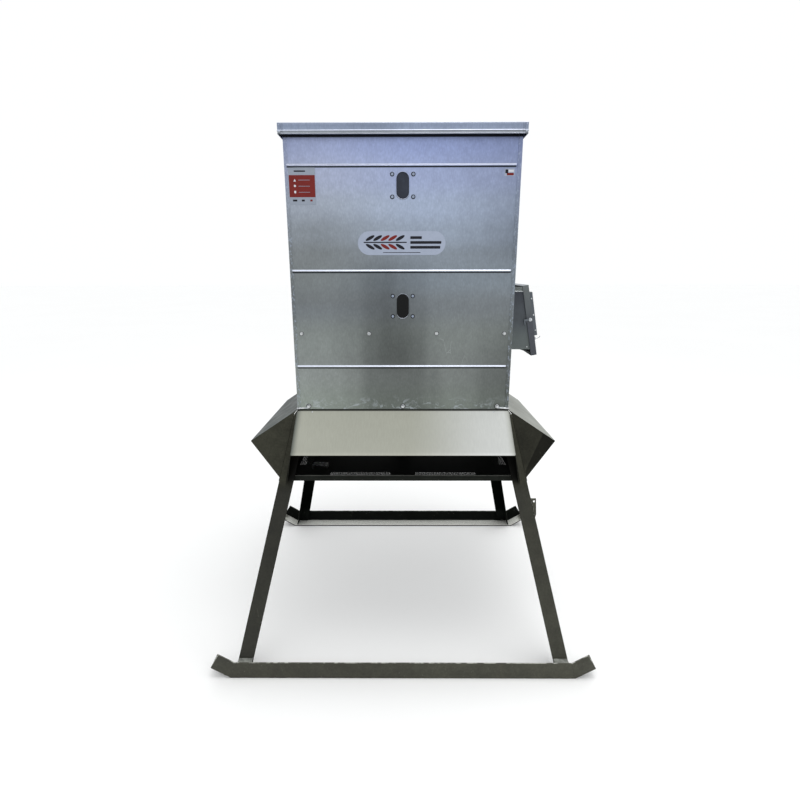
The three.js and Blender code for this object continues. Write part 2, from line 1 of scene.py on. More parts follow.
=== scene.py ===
"""Looks of the spin cast feeder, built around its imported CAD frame.

Row frame: +Z up, -Y is the front, +X the control box side. Pieces are laid out in millimetres and
turned into metres where their meshes are made, with every object's origin at the row frame's origin.
"""
import json
import math
import random

import bmesh
import bpy
from mathutils import Matrix, Vector


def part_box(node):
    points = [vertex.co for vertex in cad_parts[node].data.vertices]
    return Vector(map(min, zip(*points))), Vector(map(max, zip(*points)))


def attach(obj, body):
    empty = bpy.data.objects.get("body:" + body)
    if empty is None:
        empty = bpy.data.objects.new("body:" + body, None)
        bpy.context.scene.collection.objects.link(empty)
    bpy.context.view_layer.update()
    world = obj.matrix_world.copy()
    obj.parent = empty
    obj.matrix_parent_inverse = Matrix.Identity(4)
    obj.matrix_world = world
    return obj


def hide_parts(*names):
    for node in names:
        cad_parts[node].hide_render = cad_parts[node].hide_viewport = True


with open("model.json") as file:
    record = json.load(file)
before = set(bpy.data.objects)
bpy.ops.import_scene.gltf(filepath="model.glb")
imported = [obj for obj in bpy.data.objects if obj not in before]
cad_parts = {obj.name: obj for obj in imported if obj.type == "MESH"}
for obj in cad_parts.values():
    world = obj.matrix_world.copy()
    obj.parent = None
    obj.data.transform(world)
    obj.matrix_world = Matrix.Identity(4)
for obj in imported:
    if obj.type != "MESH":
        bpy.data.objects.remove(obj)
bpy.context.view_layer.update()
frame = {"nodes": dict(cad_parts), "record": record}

MM = 0.001
SHARP = math.radians(34)  # CAD edges that turn more than this stay sharp and are bevelled
RNG = random.Random(20)


def box_mm(node):
    """Lowest and highest corner of a CAD node, in millimetres."""
    low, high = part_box(node)
    return low / MM, high / MM


# ---------- Driving dimensions, mm ----------
SHEET = 1.6
RIB = {"heights": (1281.5, 1674.0, 2068.0), "half": 8.0, "proud": 4.6, "inset": 12.0}
HOPPER_LOW, HOPPER_HIGH = box_mm("hopper_front")
WALL_Z = (HOPPER_LOW.z, HOPPER_HIGH.z)
HALF_WIDTH = HOPPER_HIGH.x
FRONT_FACE = -HOPPER_LOW.y - RIB["proud"]  # from the middle to the front and rear walls' outer faces
SIDE_HALF = box_mm("hopper_right")[1].y
LAP = {"width": 16.0, "proud": SHEET}
WINDOW = {"heights": (1535.0, 1996.5), "width": 50.0, "height": 98.0, "rivet": 41.0, "x": 0.0}
BOLT_ROWS = (  # bolt is the head's width and height and the washer's radius
    {
        "height": 1422.5, "ends": (-423.0, -141.0, 141.0, 423.0), "sides": (-290.0, 0.0, 290.0),
        "bolt": (10, 5.0, 7.4), "seal": 8.6,
    },
    {
        "height": 1108.0, "ends": (-408.0, 0.0, 408.0), "sides": (-300.0, 300.0),
        "bolt": (12, 6.0, 8.6), "seal": 11.0,
    },
)

LID_LOW, LID_HIGH = box_mm("lid")
LID_TOP = LID_HIGH.z
LID_HALF = (LID_HIGH.x, LID_HIGH.y)
LID_SKIRT = LID_HIGH.z - LID_LOW.z
LID_RISE = 4.5  # how far the middle of its top stands above the edge

PAN_LOW, PAN_HIGH = box_mm("feed_pan")
PAN_THICK = 2.0
PAN_MARGIN = 20.0
AWNING_OUT = (150.0, 175.0)  # which way the front and rear awnings face: away from the hopper, and up
PERFORATION = {"pitch": 7.6, "hole": 2.9, "thick": 1.8}

SKID_OUTER = -box_mm("front_skid")[0].y
SKID_FLANGE = 76.0
SKID_BEND_X = 733.0
SKID_TIP = math.radians(31.5)
FOOT = (717.0, 680.5, 6.3)
HEAD = (471.0, 365.0, 1075.0)

DOOR_TOP, DOOR_BOTTOM = (564.5, 1615.0), (622.0, 1299.0)
DOOR_LENGTH = math.dist(DOOR_TOP, DOOR_BOTTOM)
DOOR_UP = Vector((DOOR_TOP[0] - DOOR_BOTTOM[0], 0, DOOR_TOP[1] - DOOR_BOTTOM[1])) / DOOR_LENGTH
DOOR_OUT = Vector((DOOR_UP.z, 0, -DOOR_UP.x))
DOOR_MIDDLE = Vector(((DOOR_TOP[0] + DOOR_BOTTOM[0]) / 2, 0, (DOOR_TOP[1] + DOOR_BOTTOM[1]) / 2))
BOX = {
    "half": 140.0, "door_half": 145.0, "middle": 1464.0, "height": 286.0, "rivet_pitch": 112.0,
    "eaves": 1587.0, "roof": 1606.0, "roof_front": 549.0,
}
TIMER = {
    "screen": (-27.0, 1538.0), "keys": (-22.0, 0.0, 22.0), "key_z": 1472.0, "screws": (40.0, 1452.0, 1552.0),
}
SPINNER = {"top": 905.0, "plate_top": 888.0, "rivet_circle": 60.0}
MOTOR = {"bracket_top": 798.3, "bolts": (68.0, 22.0), "clamp": 806.0, "top": 868.6, "screw_circle": 20.0}
LID_HINGE = {"rivets": range(-270, 271, 90), "wall": 2124.0, "lid": 2194.0}
AWNING_RIVET = Vector((392.0, 366.5, 1086.0))
SOLAR = {"half": 125.0, "low": -74.0, "high": 125.0, "back": 0.3, "thick": 17.5, "border": 9.0}


# ---------- Node-based materials ----------
def srgb(red, green, blue):
    """A linear colour from 8-bit display values."""
    def linear(value):
        value /= 255
        return value / 12.92 if value <= 0.04045 else ((value + 0.055) / 1.055) ** 2.4

    return (linear(red), linear(green), linear(blue), 1.0)


class Shader:
    """One material's node tree. Each method adds a node and returns its output socket."""

    def __init__(self, name):
        self.material = bpy.data.materials.new(name)
        self.material.use_nodes = True
        self.tree = self.material.node_tree
        self.tree.nodes.clear()
        coordinates = self.tree.nodes.new("ShaderNodeTexCoord")
        self.place = coordinates.outputs["Object"]
        self.normal = coordinates.outputs["Normal"]
        self.x, self.y, self.z = self.split(self.place)
        self.facing_x, self.facing_y, self.facing_up = self.split(self.normal)

    def put(self, socket, value):
        if isinstance(value, bpy.types.NodeSocket):
            self.tree.links.new(value, socket)
        elif value is not None:
            socket.default_value = value[:3] if socket.type == "VECTOR" else value

    def node(self, kind, inputs, **settings):
        """Adds a node with its settings. inputs are values or sockets by an input's number or name."""
        node = self.tree.nodes.new(f"ShaderNode{kind}")
        for name, value in settings.items():
            setattr(node, name, value)
        for key, value in inputs.items():
            self.put(node.inputs[key], value)
        return node

    def split(self, vector):
        node = self.node("SeparateXYZ", {0: vector})
        return node.outputs[0], node.outputs[1], node.outputs[2]

    def math(self, operation, *values):
        return self.node("Math", dict(enumerate(values)), operation=operation).outputs[0]

    def plus(self, first, second):
        return self.math("ADD", first, second)

    def minus(self, first, second):
        return self.math("SUBTRACT", first, second)

    def both(self, first, *others):
        for other in others:
            first = self.math("MULTIPLY", first, other)
        return first

    def absolute(self, value):
        return self.math("ABSOLUTE", value)

    def step(self, value, low, high, to_low=0.0, to_high=1.0):
        """Eases from to_low at low to to_high at high."""
        if low > high:
            low, high, to_low, to_high = high, low, to_high, to_low
        inputs = dict(enumerate((value, low, high, to_low, to_high)))
        return self.node("MapRange", inputs, interpolation_type="SMOOTHSTEP").outputs[0]

    def within(self, value, rise, fall):
        """1 between two edges and 0 outside, each edge a pair from 0 to 1."""
        return self.both(self.step(value, *rise), self.step(value, *fall))

    def mix(self, factor, first, second):
        return self.node("Mix", {0: factor, 6: first, 7: second}, data_type="RGBA").outputs[2]

    def bright(self, colour, factor):
        """The colour times a factor that may vary over the surface."""
        return self.node("VectorMath", {0: colour, "Scale": factor}, operation="SCALE").outputs[0]

    def vary(self, colour, value, low, high, at_low, at_high):
        """The colour times a factor that eases from at_low to at_high."""
        return self.bright(colour, self.step(value, low, high, at_low, at_high))

    def shaded(self, colour, mask, factor):
        """The colour, times factor where the mask is 1."""
        return self.vary(colour, mask, 0, 1, 1.0, factor)

    def tinted(self, colour, tint):
        return self.node("VectorMath", {0: colour, 1: tint}, operation="MULTIPLY").outputs[0]

    def stretched(self, scale):
        return self.node("Mapping", {"Vector": self.place, "Scale": scale}).outputs[0]

    def noise(self, scale, detail=3.0, roughness=0.55, distortion=0.0):
        """Noise in 0 to 1. scale is how many swings it has in a metre along x, y and z."""
        shape = {"Scale": 1.0, "Detail": detail, "Roughness": roughness, "Distortion": distortion}
        return self.node("TexNoise", {"Vector": self.stretched(scale), **shape}).outputs[0]

    def cells(self, scale, feature="F1"):
        """Distance in a field of random cells, as many in a metre as scale says."""
        inputs = {"Vector": self.stretched(scale), "Scale": 1.0}
        return self.node("TexVoronoi", inputs, feature=feature).outputs["Distance"]

    def ramp(self, value, stops):
        node = self.node("ValToRGB", {0: value})
        node.color_ramp.interpolation = "EASE"
        points = node.color_ramp.elements
        while len(points) < len(stops):
            points.new(0.5)
        for point, (position, colour) in zip(points, stops):
            point.position = position
            point.color = colour
        return node.outputs[0]

    def along(self, value, stops):
        """A colour by a distance in metres. stops are (distance, colour) from low to high."""
        low, high = stops[0][0], stops[-1][0]
        share = self.math("DIVIDE", self.minus(value, low), high - low)
        return self.ramp(share, [((at - low) / (high - low), colour) for at, colour in stops])

    def profile(self, value, stops):
        """A factor by a distance in metres, from 0 to 2. stops are (distance, factor)."""
        halves = self.along(value, [(at, (f / 2, f / 2, f / 2, 1)) for at, f in stops])
        return self.both(self.split(halves)[0], 2.0)

    def outward(self):
        """How far the surface looks away from the part's middle axis, from -1 to 1."""
        length = self.math("SQRT", self.plus(self.both(self.x, self.x), self.both(self.y, self.y)))
        away = self.plus(self.both(self.x, self.facing_x), self.both(self.y, self.facing_y))
        return self.math("DIVIDE", away, self.math("MAXIMUM", length, 0.01))

    def finish(self, colour, roughness, metallic=0.0, bumps=(), **principled):
        """Ends the tree. bumps are (height, strength, distance in metres)."""
        normal = None
        for height, strength, distance in bumps:
            inputs = {"Height": height, "Normal": normal, "Strength": strength, "Distance": distance}
            normal = self.node("Bump", inputs).outputs[0]
        inputs = {"Base Color": colour, "Roughness": roughness, "Metallic": metallic, "Normal": normal}
        inputs.update({name.replace("_", " "): value for name, value in principled.items()})
        surface = self.node("BsdfPrincipled", inputs)
        self.node("OutputMaterial", {0: surface.outputs[0]})
        return self.material


def front_wall_tone(s):
    """Broad upright bands of light and shade on the front wall: five profiles across its width, each
    fading into the next with height."""
    wander = s.both(s.minus(s.noise((1.5, 1.5, 4.0)), 0.5), 0.05)
    across = s.plus(s.x, wander)
    tone = s.profile(across, FRONT_BANDS[0][1])
    for (below, _), (_, stops), (above, _) in zip(FRONT_BANDS, FRONT_BANDS[1:], FRONT_BANDS[1:]):
        share = s.step(s.z, below, above)
        tone = s.plus(tone, s.both(share, s.minus(s.profile(across, stops), tone)))
    return tone


def wall_marks_and_lid_shadow(s, colour):
    """Scuffs along the bottom edge, scratches, speckled corner laps and a painted shadow band under the lid.
    """
    patches = s.step(s.noise((24, 24, 40), 6.0, 0.72, 0.8), 0.50, 0.64)
    scuffs = s.both(s.within(s.z, *SHEET_MARKS_AND_SHADES["scuffs"]), patches, s.step(s.x, 0.45, 0.15, 0.22, 0.5))
    colour = s.mix(scuffs, colour, srgb(190, 198, 206))
    scratch = s.step(s.cells((21, 21, 5), "DISTANCE_TO_EDGE"), 0.012, 0.004)
    scratched = s.both(s.step(s.noise((4, 4, 4)), 0.60, 0.70), s.step(s.z, 1.62, 1.45))
    colour = s.mix(s.both(scratch, scratched, 0.22), colour, srgb(205, 210, 210))
    lap = s.step(s.absolute(s.y), *SHEET_MARKS_AND_SHADES["lap_y"])
    lap = s.both(s.step(s.absolute(s.x), *SHEET_MARKS_AND_SHADES["lap_x"]), lap)
    colour = s.shaded(colour, lap, 0.84)
    flecks = s.step(s.noise((170, 170, 90), 3.0, 0.65), 0.48, 0.68)
    colour = s.mix(s.both(lap, flecks, 0.42), colour, srgb(172, 184, 204))
    # painted shadow: a near-black band on the outward faces just under the lid's skirt
    lid_shadow = s.both(s.within(s.z, *SHEET_MARKS_AND_SHADES["lid_shadow"]), s.step(s.outward(), 0.2, 0.5), 0.97)
    return s.mix(lid_shadow, colour, srgb(12, 13, 16))


def lid_painted_shading(s, colour):
    """Painted shade on the faces inside the skirt, and a painted shade line and a painted highlight line at
    each corner fold.
    """
    # painted shade on the faces inside the skirt
    colour = s.mix(s.both(s.step(s.outward(), -0.2, -0.5), 0.8), colour, srgb(60, 64, 70))
    # a painted shade line and a painted highlight line at each corner fold
    for start, end, factor in SHEET_MARKS_AND_SHADES["fold_shading_lines"]:
        colour = s.vary(colour, s.absolute(s.x), start, end, 1.0, factor)
    return colour


def galvanised(name, kind, tones, shade_tone, highlight_tone):
    """Hot-dip galvanised sheet with upright bands and a fine spangle; its tone by height is a painted sky
    reflection, and on the front wall the bands are painted light and shade. kind is wall or lid. The last
    two tones are the painted shade of faces that look down and the painted highlight of faces that look up."""
    s = Shader(name)
    # painted sky reflection: the tone follows height
    colour = s.along(s.z, tones)
    band = s.step(s.noise((2.6, 2.6, 0.35), 2.0), 0.3, 0.7, 0.86, 1.10)
    if kind == "wall":
        front = s.step(s.y, *SHEET_MARKS_AND_SHADES["front"])
        warm = s.both(s.step(s.x, 0.1, -0.4), s.step(s.z, 1.5, 1.65), front)
        colour = s.mix(warm, colour, s.tinted(colour, (1.05, 1.0, 0.90)))
        band = s.plus(band, s.both(front, s.minus(front_wall_tone(s), band)))
    colour = s.bright(colour, band)
    blotch = s.noise((9, 9, 6), 4.0)
    colour = s.vary(colour, blotch, 0.3, 0.7, 0.98, 1.025)
    brushed = s.noise((300, 300, 60), 2.0)
    colour = s.vary(colour, brushed, 0.25, 0.75, 0.94, 1.06)
    colour = s.vary(colour, s.cells((110, 110, 80)), 0.0, 0.8, 1.04, 0.95)
    # painted highlight where faces look up, such as the beads' upper flanks; on the wall only where they
    # look outwards
    sky = s.step(s.facing_up, 0.12, 0.5, 0.0, 0.9)
    if kind == "wall":
        colour = wall_marks_and_lid_shadow(s, colour)
        sky = s.both(sky, s.step(s.outward(), 0.0, 0.25))
    else:
        colour = lid_painted_shading(s, colour)
    # painted shade on faces that look down
    colour = s.mix(s.step(s.facing_up, -0.15, -0.6), colour, shade_tone)
    colour = s.mix(sky, colour, highlight_tone)
    colour = s.vary(colour, s.cells((34, 34, 34)), 0.0, 0.9, 1.03, 0.96)
    return s.finish(
        colour, s.step(blotch, 0.25, 0.75, 0.36, 0.50), 0.72,
        bumps=[(s.noise((7, 7, 4), 2.0), 0.10, 0.004), (brushed, 0.05, 0.0006)],
    )


def sheltered_tone(s, open_air, outward, grain):
    """Rails and pan in the awnings' shadow, painted nearly black apart from faces that look outwards, with a
    painted highlight along the pan's rim.
    """
    # painted highlight along the top of the pan's rim
    rim = s.both(s.step(s.z, 0.8145, 0.8165), s.step(s.facing_up, 0.2, 0.6))
    # painted shade: nearly black apart from faces that look outwards
    paint = s.mix(s.both(open_air, s.step(outward, 0.4, 0.8)), srgb(2, 6, 3), srgb(28, 30, 27))
    return s.bright(s.mix(rim, paint, srgb(122, 124, 118)), grain)


def leg_tone(s, paint):
    """Painted shade: darker on the left and with height, lighter again above the pan, and nearly black on
    the inner part beside the awnings' ends, where the awnings' shadow falls.
    """
    shade = s.both(s.step(s.x, -0.1, 0.1, 0.62, 0.84), s.step(s.z, 0.25, 0.70, 1.0, 0.72))
    top = s.step(s.z, 0.76, 0.82)
    paint = s.mix(top, s.bright(paint, shade), s.bright(paint, 0.95))
    slant = s.plus(s.absolute(s.x), s.both(s.z, 0.16))
    return s.shaded(paint, s.both(top, s.step(slant, 0.634, 0.630)), 0.06)


def open_tone(s, paint):
    """Painted shadow on the front right gusset's corner and painted shade under the right awning, brighter
    on the skids.
    """
    slant = s.minus(s.x, s.both(s.z, 0.5))
    # painted shadow in a triangle on the front right gusset's corner
    corner = s.both(s.step(slant, 0.120, 0.126), s.step(s.y, -0.34, -0.35), s.step(s.z, 0.75, 0.80))
    paint = s.shaded(paint, corner, 0.38)
    # painted shade under the right awning
    right_awning_shade = s.both(s.step(s.x, 0.43, 0.47), s.step(s.z, 0.80, 0.88))
    return s.vary(s.shaded(paint, right_awning_shade, 0.5), s.z, 0.10, 0.07, 1.0, 1.16)


def dust_and_sheen(s, speck):
    """What faces that look up show: on the awnings a pale dusty layer with painted sheen and reflection,
    worn paint and grit on the skids, and on the lowest faces a pale layer that is partly dusty and partly
    painted light.
    """
    left, right = s.step(s.x, -0.43, -0.47), s.step(s.x, 0.43, 0.47)
    # painted reflection: the pale layer is nearly as dark as the paint on the left awning, and greyer on the
    # right one
    film_and_sheen = s.mix(left, srgb(158, 159, 148), srgb(62, 69, 67))
    film_and_sheen = s.mix(right, film_and_sheen, srgb(142, 144, 137))
    # painted light on the right part of the front awning
    sunlit = s.both(s.step(s.x, 0.0, 0.38), s.step(s.y, -0.34, -0.37), s.minus(1.0, right))
    film_and_sheen = s.mix(s.both(sunlit, 0.85), film_and_sheen, srgb(194, 196, 194))
    film_and_sheen = s.vary(film_and_sheen, s.noise((3, 5, 5), 2.0), 0.3, 0.7, 0.975, 1.025)
    film_and_sheen = s.vary(film_and_sheen, s.noise((240, 30, 30), 3.0, 0.6), 0.3, 0.7, 0.97, 1.03)
    # painted shadow along the awnings' top edge, under the hopper
    film_and_sheen = s.vary(film_and_sheen, s.z, 1.0875, 1.0905, 1.0, 0.12)
    # painted highlight along the awnings' lower lip
    film_and_sheen = s.vary(film_and_sheen, s.z, 0.960, 0.952, 1.0, 1.14)
    skid, ground = s.step(s.z, 0.35, 0.2), s.step(s.z, 0.05, 0.03)
    film_and_sheen = s.mix(skid, film_and_sheen, srgb(88, 88, 80))
    worn = s.both(skid, s.step(s.noise((26, 26, 26), 4.0, 0.7), 0.46, 0.56))
    film_and_sheen = s.mix(worn, film_and_sheen, srgb(176, 178, 170))
    # the lowest faces: a near-white layer, partly dusty and partly painted light
    film_and_sheen = s.mix(ground, film_and_sheen, srgb(226, 227, 220))
    return s.mix(s.both(ground, s.step(speck, 0.50, 0.66), 0.7), film_and_sheen, srgb(120, 121, 113))


def bronze(name, kind):
    """Dark bronze-olive powder coat, with painted shade that makes faces that look inwards or down nearly
    black.
    kind is open, leg or sheltered. Out in the open, faces that look up get a dusty layer with painted sheen."""
    s = Shader(name)
    outward = s.outward()
    mottle = s.noise((14, 14, 14), 4.0, 0.6)
    speck = s.noise((420, 420, 420), 2.0, 0.7)
    inward = s.step(outward, -0.15, -0.55)
    under = s.step(s.facing_up, -0.25, -0.6)
    open_air = s.both(s.minus(1.0, inward), s.minus(1.0, under))
    fine = s.step(s.noise((110, 110, 110), 3.0, 0.7), 0.35, 0.65, 0.88, 1.12)
    grain = s.both(s.step(mottle, 0.3, 0.7, 0.86, 1.15), fine)
    if kind == "sheltered":
        paint = sheltered_tone(s, open_air, outward, grain)
        return s.finish(paint, 0.6, 0.0, Specular_IOR_Level=0.04)

    # painted shade: the paint is darker on the left
    paint = s.vary(srgb(60, 60, 51), s.x, -0.1, 0.15, 0.80, 1.0)
    paint = leg_tone(s, paint) if kind == "leg" else open_tone(s, paint)
    # painted shade: faces that look inwards are nearly black, a little less on the skids
    paint = s.mix(inward, paint, s.mix(s.step(s.z, 0.12, 0.09), srgb(6, 9, 7), srgb(19, 21, 19)))
    # painted shade: faces that look down are nearly black
    paint = s.mix(under, paint, srgb(2, 5, 3))
    paint = s.bright(paint, grain)
    paint = s.mix(s.step(s.facing_up, 0.38, 0.74), paint, dust_and_sheen(s, speck))
    dots = s.both(s.step(s.cells((75, 75, 75)), 0.13, 0.07), s.step(s.noise((30, 30, 30)), 0.48, 0.6))
    paint = s.mix(s.both(dots, s.step(s.z, 0.12, 0.10), 0.5), paint, srgb(150, 150, 140))
    scuff = s.both(s.step(s.noise((60, 60, 9), 4.0, 0.7), 0.66, 0.74), s.step(outward, 0.2, 0.6))
    paint = s.mix(s.both(scuff, 0.15), paint, srgb(128, 128, 118))
    return s.finish(
        paint, s.step(mottle, 0.25, 0.75, 0.36, 0.52), 0.0,
        bumps=[(speck, 0.12, 0.0004), (mottle, 0.05, 0.002)],
        Specular_IOR_Level=s.both(s.step(open_air, 0, 1, 0.0, 0.22), s.step(s.z, 0.74, 0.80, 1.0, 0.3)),
    )


def zinc(name, dull, bright):
    """Zinc-plated steel with a fine cloudiness."""
    s = Shader(name)
    cloud = s.noise((90, 90, 90), 3.0)
    colour = s.mix(s.step(cloud, 0.35, 0.7), dull, bright)
    # painted shade on faces that look down
    colour = s.mix(s.both(s.step(s.facing_up, -0.2, -0.7), 0.6), colour, srgb(60, 62, 62))
    return s.finish(colour, s.step(cloud, 0.3, 0.7, 0.24, 0.42), 0.9, bumps=[(cloud, 0.08, 0.0005)])


def enamel(name, tones):
    """Grey box paint whose tone changes with height, with a painted highlight on faces that look up and
    painted shade on faces that look down.
    """
    s = Shader(name)
    colour = s.along(s.z, tones)
    mottle = s.noise((20, 20, 20), 4.0)
    colour = s.vary(colour, mottle, 0.3, 0.7, 0.92, 1.08)
    colour = s.mix(s.step(s.facing_up, 0.4, 0.8), colour, srgb(148, 154, 158))
    colour = s.mix(s.step(s.facing_up, -0.3, -0.8), colour, srgb(34, 36, 38))
    peel = s.noise((700, 700, 700), 1.0)
    return s.finish(
        colour, s.step(mottle, 0.3, 0.7, 0.40, 0.52), 0.15,
        bumps=[(peel, 0.10, 0.0003)], Specular_IOR_Level=0.3,
    )


def pane():
    """Smoked sheet with what lies behind it painted into its colour: painted light in the upper window, and
    painted shade of the funnel in the lower one.
    """
    s = Shader("smoked_pane")
    colour = s.along(s.z, [(1.4, srgb(9, 11, 11)), (1.72, srgb(10, 12, 13)), (1.9, srgb(46, 50, 60))])
    haze = s.noise((30, 30, 18), 4.0)
    colour = s.vary(colour, haze, 0.3, 0.75, 0.85, 1.2)
    gloss = s.step(haze, 0.3, 0.7, 0.06, 0.16)
    return s.finish(colour, gloss, bumps=[(haze, 0.03, 0.001)], Specular_IOR_Level=0.15)


def solar_cells():
    """Dark blue crystalline cells under glass."""
    s = Shader("solar_cells")
    grain = s.cells((150, 150, 150))
    colour = s.mix(s.step(grain, 0.1, 0.8), srgb(18, 26, 52), srgb(30, 42, 84))
    bumps = [(grain, 0.02, 0.0003)]
    return s.finish(colour, 0.12, 0.1, bumps, Coat_Weight=0.8, Coat_Roughness=0.04)


def latch():
    """Zinc plate, with a painted highlight by the pivot and darker along the arm."""
    s = Shader("latch_zinc")
    colour = s.mix(s.step(s.x, 0.572, 0.578), srgb(98, 104, 110), srgb(206, 210, 214))
    wear = s.noise((160, 160, 160), 3.0)
    return s.finish(s.vary(colour, wear, 0.3, 0.7, 0.85, 1.1), 0.36, 0.7)


def plain(name, colour, spread, rough, grain, metallic, specular):
    """A moulded or printed finish: one colour with fine variation, soft mottling and a fine grain."""
    s = Shader(name)
    cloud = s.noise((40, 40, 40), 3.0)
    fine = s.noise((grain, grain, grain), 2.0)
    tone = s.vary(srgb(*colour), cloud, 0.3, 0.7, 1 - spread, 1 + spread)
    tone = s.vary(tone, fine, 0.3, 0.7, 1 - spread / 2, 1 + spread / 2)
    roughness = s.step(cloud, 0.3, 0.7, rough - 0.05, rough + 0.05)
    return s.finish(tone, roughness, metallic, [(fine, 0.12, 0.0003)], Specular_IOR_Level=specular)


# the wall's tone by height is a painted sky reflection: bluer and lighter towards the top
WALL_TONES = (  # height in metres, colour
    (1.10, srgb(120, 127, 121)),
    (1.26, srgb(120, 125, 123)),
    (1.41, srgb(122, 128, 126)),
    (1.54, srgb(116, 122, 126)),
    (1.64, srgb(123, 132, 140)),
    (1.735, srgb(132, 141, 151)),
    (1.82, srgb(146, 157, 173)),
    (1.92, srgb(157, 169, 191)),
    (2.03, srgb(151, 162, 193)),
    (2.15, srgb(146, 159, 200)),
)
# the band under the lid is a painted shadow, and the fold lines are a painted shade and a painted highlight
SHEET_MARKS_AND_SHADES = {  # where marks fade in, and out where a second pair says so, in metres
    "front": (-0.340, -0.347),
    "lap_x": (0.4405, 0.4415),
    "lap_y": (0.336, 0.341),
    "scuffs": ((1.080, 1.085), (1.165, 1.100)),
    "lid_shadow": ((2.1655, 2.1695), (2.1780, 2.1770)),
    "fold_shading_lines": ((0.4475, 0.4485, 0.72), (0.4505, 0.4515, 1.28)),  # and the factor of the tone
}
FRONT_BANDS = (  # height in metres, then (distance across in metres, factor)
    (1.24, (
        (-0.45, 1.40), (-0.28, 1.24), (-0.20, 1.06), (-0.13, 0.72), (-0.06, 0.68), (0.06, 0.65),
        (0.13, 0.80), (0.20, 1.00), (0.28, 0.92), (0.36, 0.68), (0.45, 0.60),
    )),
    (1.32, (
        (-0.45, 1.18), (-0.34, 1.20), (-0.20, 0.94), (-0.13, 0.62), (-0.06, 0.46), (0.0, 0.44),
        (0.07, 0.60), (0.13, 0.90), (0.20, 1.00), (0.28, 0.96), (0.36, 0.80), (0.45, 0.66),
    )),
    (1.62, (
        (-0.45, 0.85), (-0.30, 0.92), (-0.20, 0.83), (-0.12, 0.66), (-0.06, 0.60), (0.0, 0.74),
        (0.07, 0.86), (0.13, 1.00), (0.30, 1.04), (0.45, 1.04),
    )),
    (1.80, (
        (-0.45, 0.79), (-0.34, 0.75), (-0.20, 0.87), (-0.10, 0.96), (0.0, 1.00), (0.20, 1.00),
        (0.28, 0.92), (0.36, 0.77), (0.45, 0.66),
    )),
    (2.08, (
        (-0.45, 0.98), (-0.40, 1.08), (-0.28, 1.15), (0.0, 1.09), (0.20, 1.00), (0.28, 0.91), (0.45, 0.79),
    )),
)
BOX_TONES = (
    (1.29, srgb(102, 109, 107)),
    (1.36, srgb(93, 100, 100)),
    (1.46, srgb(74, 79, 84)),
    (1.62, srgb(56, 59, 67)),
)
DOOR_TONES = (
    (1.29, srgb(70, 73, 80)),
    (1.42, srgb(74, 77, 84)),
    (1.52, srgb(90, 95, 98)),
    (1.62, srgb(103, 108, 108)),
)
# the lid skirt's tone by height: a painted highlight along the crease, and painted shade in the darker line
# at the skirt's bottom edge
LID_TONES = (
    (2.170, srgb(92, 98, 106)),
    (2.1735, srgb(110, 116, 124)),
    (2.1755, srgb(150, 156, 164)),
    (2.180, srgb(152, 158, 166)),
    (2.182, srgb(205, 212, 228)),
    (2.1845, srgb(205, 212, 228)),
    (2.187, srgb(136, 147, 168)),
    (2.200, srgb(130, 141, 163)),
    (2.2085, srgb(140, 150, 170)),
)
PLAIN = {  # finish: material name, colour, spread, roughness, grain per metre, metallic, specular level
    "rivet": ("rivet_heads", (138, 148, 166), 0.08, 0.4, 400, 0.6, 0.5),
    # dark rubber seals, whose dark rings also stand in for the shadows round the bolt and rivet heads
    "seal_and_shadow": ("seal_and_shadow", (24, 24, 25), 0.1, 0.6, 800, 0.0, 0.1),
    "black_plastic": ("black_plastic", (33, 34, 36), 0.12, 0.5, 900, 0.0, 0.3),
    "button_plastic": ("button_plastic", (150, 38, 30), 0.08, 0.38, 1200, 0.0, 0.5),
    "aluminium": ("aluminium_frame", (172, 176, 178), 0.06, 0.34, 700, 0.85, 0.5),
    "roof_cap": ("roof_cap", (104, 110, 108), 0.1, 0.45, 700, 0.0, 0.3),
    "weld": ("weld_bead", (126, 128, 122), 0.35, 0.42, 500, 0.3, 0.5),
    "decal_white": ("decal_white", (150, 159, 177), 0.03, 0.42, 500, 0.0, 0.3),
    "decal_grey": ("decal_grey", (136, 144, 157), 0.03, 0.42, 500, 0.0, 0.3),
    "decal_dark": ("decal_dark", (25, 26, 33), 0.06, 0.4, 500, 0.0, 0.15),
    "decal_red": ("decal_red", (108, 35, 32), 0.06, 0.42, 500, 0.0, 0.15),
    "decal_pale": ("decal_pale", (196, 198, 204), 0.03, 0.42, 500, 0.0, 0.5),
    "edge_dark": ("dark_anodised", (84, 90, 96), 0.08, 0.4, 600, 0.4, 0.5),
    "screen": ("timer_screen", (122, 134, 108), 0.05, 0.2, 300, 0.0, 0.5),
}
FINISHES = {
    # each sheet's last two colours are its painted shade for faces that look down and its painted highlight
    # for faces that look up
    "galvanised": galvanised(
        "galvanised_sheet", "wall", WALL_TONES, srgb(30, 33, 37), srgb(220, 225, 240)
    ),
    "galvanised_lid": galvanised(
        "galvanised_lid", "lid", LID_TONES, srgb(92, 98, 106), srgb(212, 217, 232)
    ),
    # copies of one paint that differ in their painted light and shade: in the open, on the legs and under
    # the awnings
    "bronze_paint": bronze("bronze_paint", "open"),
    "bronze_leg": bronze("bronze_paint_leg", "leg"),
    "bronze_shaded": bronze("bronze_paint_painted_shade", "sheltered"),
    "latch": latch(),
    "zinc_steel": zinc("zinc_steel", srgb(168, 172, 176), srgb(214, 216, 216)),
    "zinc_sheet": zinc("zinc_sheet", srgb(128, 136, 148), srgb(142, 150, 162)),
    "box_enamel": enamel("box_enamel", BOX_TONES),
    "door_enamel": enamel("door_enamel", DOOR_TONES),
    "window_pane": pane(),
    "solar_cell": solar_cells(),
    **{finish: plain(*look) for finish, look in PLAIN.items()},
}


# ---------- Meshes ----------
def level(outline, z):
    """A flat outline as points at a height."""
    return [(x, y, z) for x, y in outline]


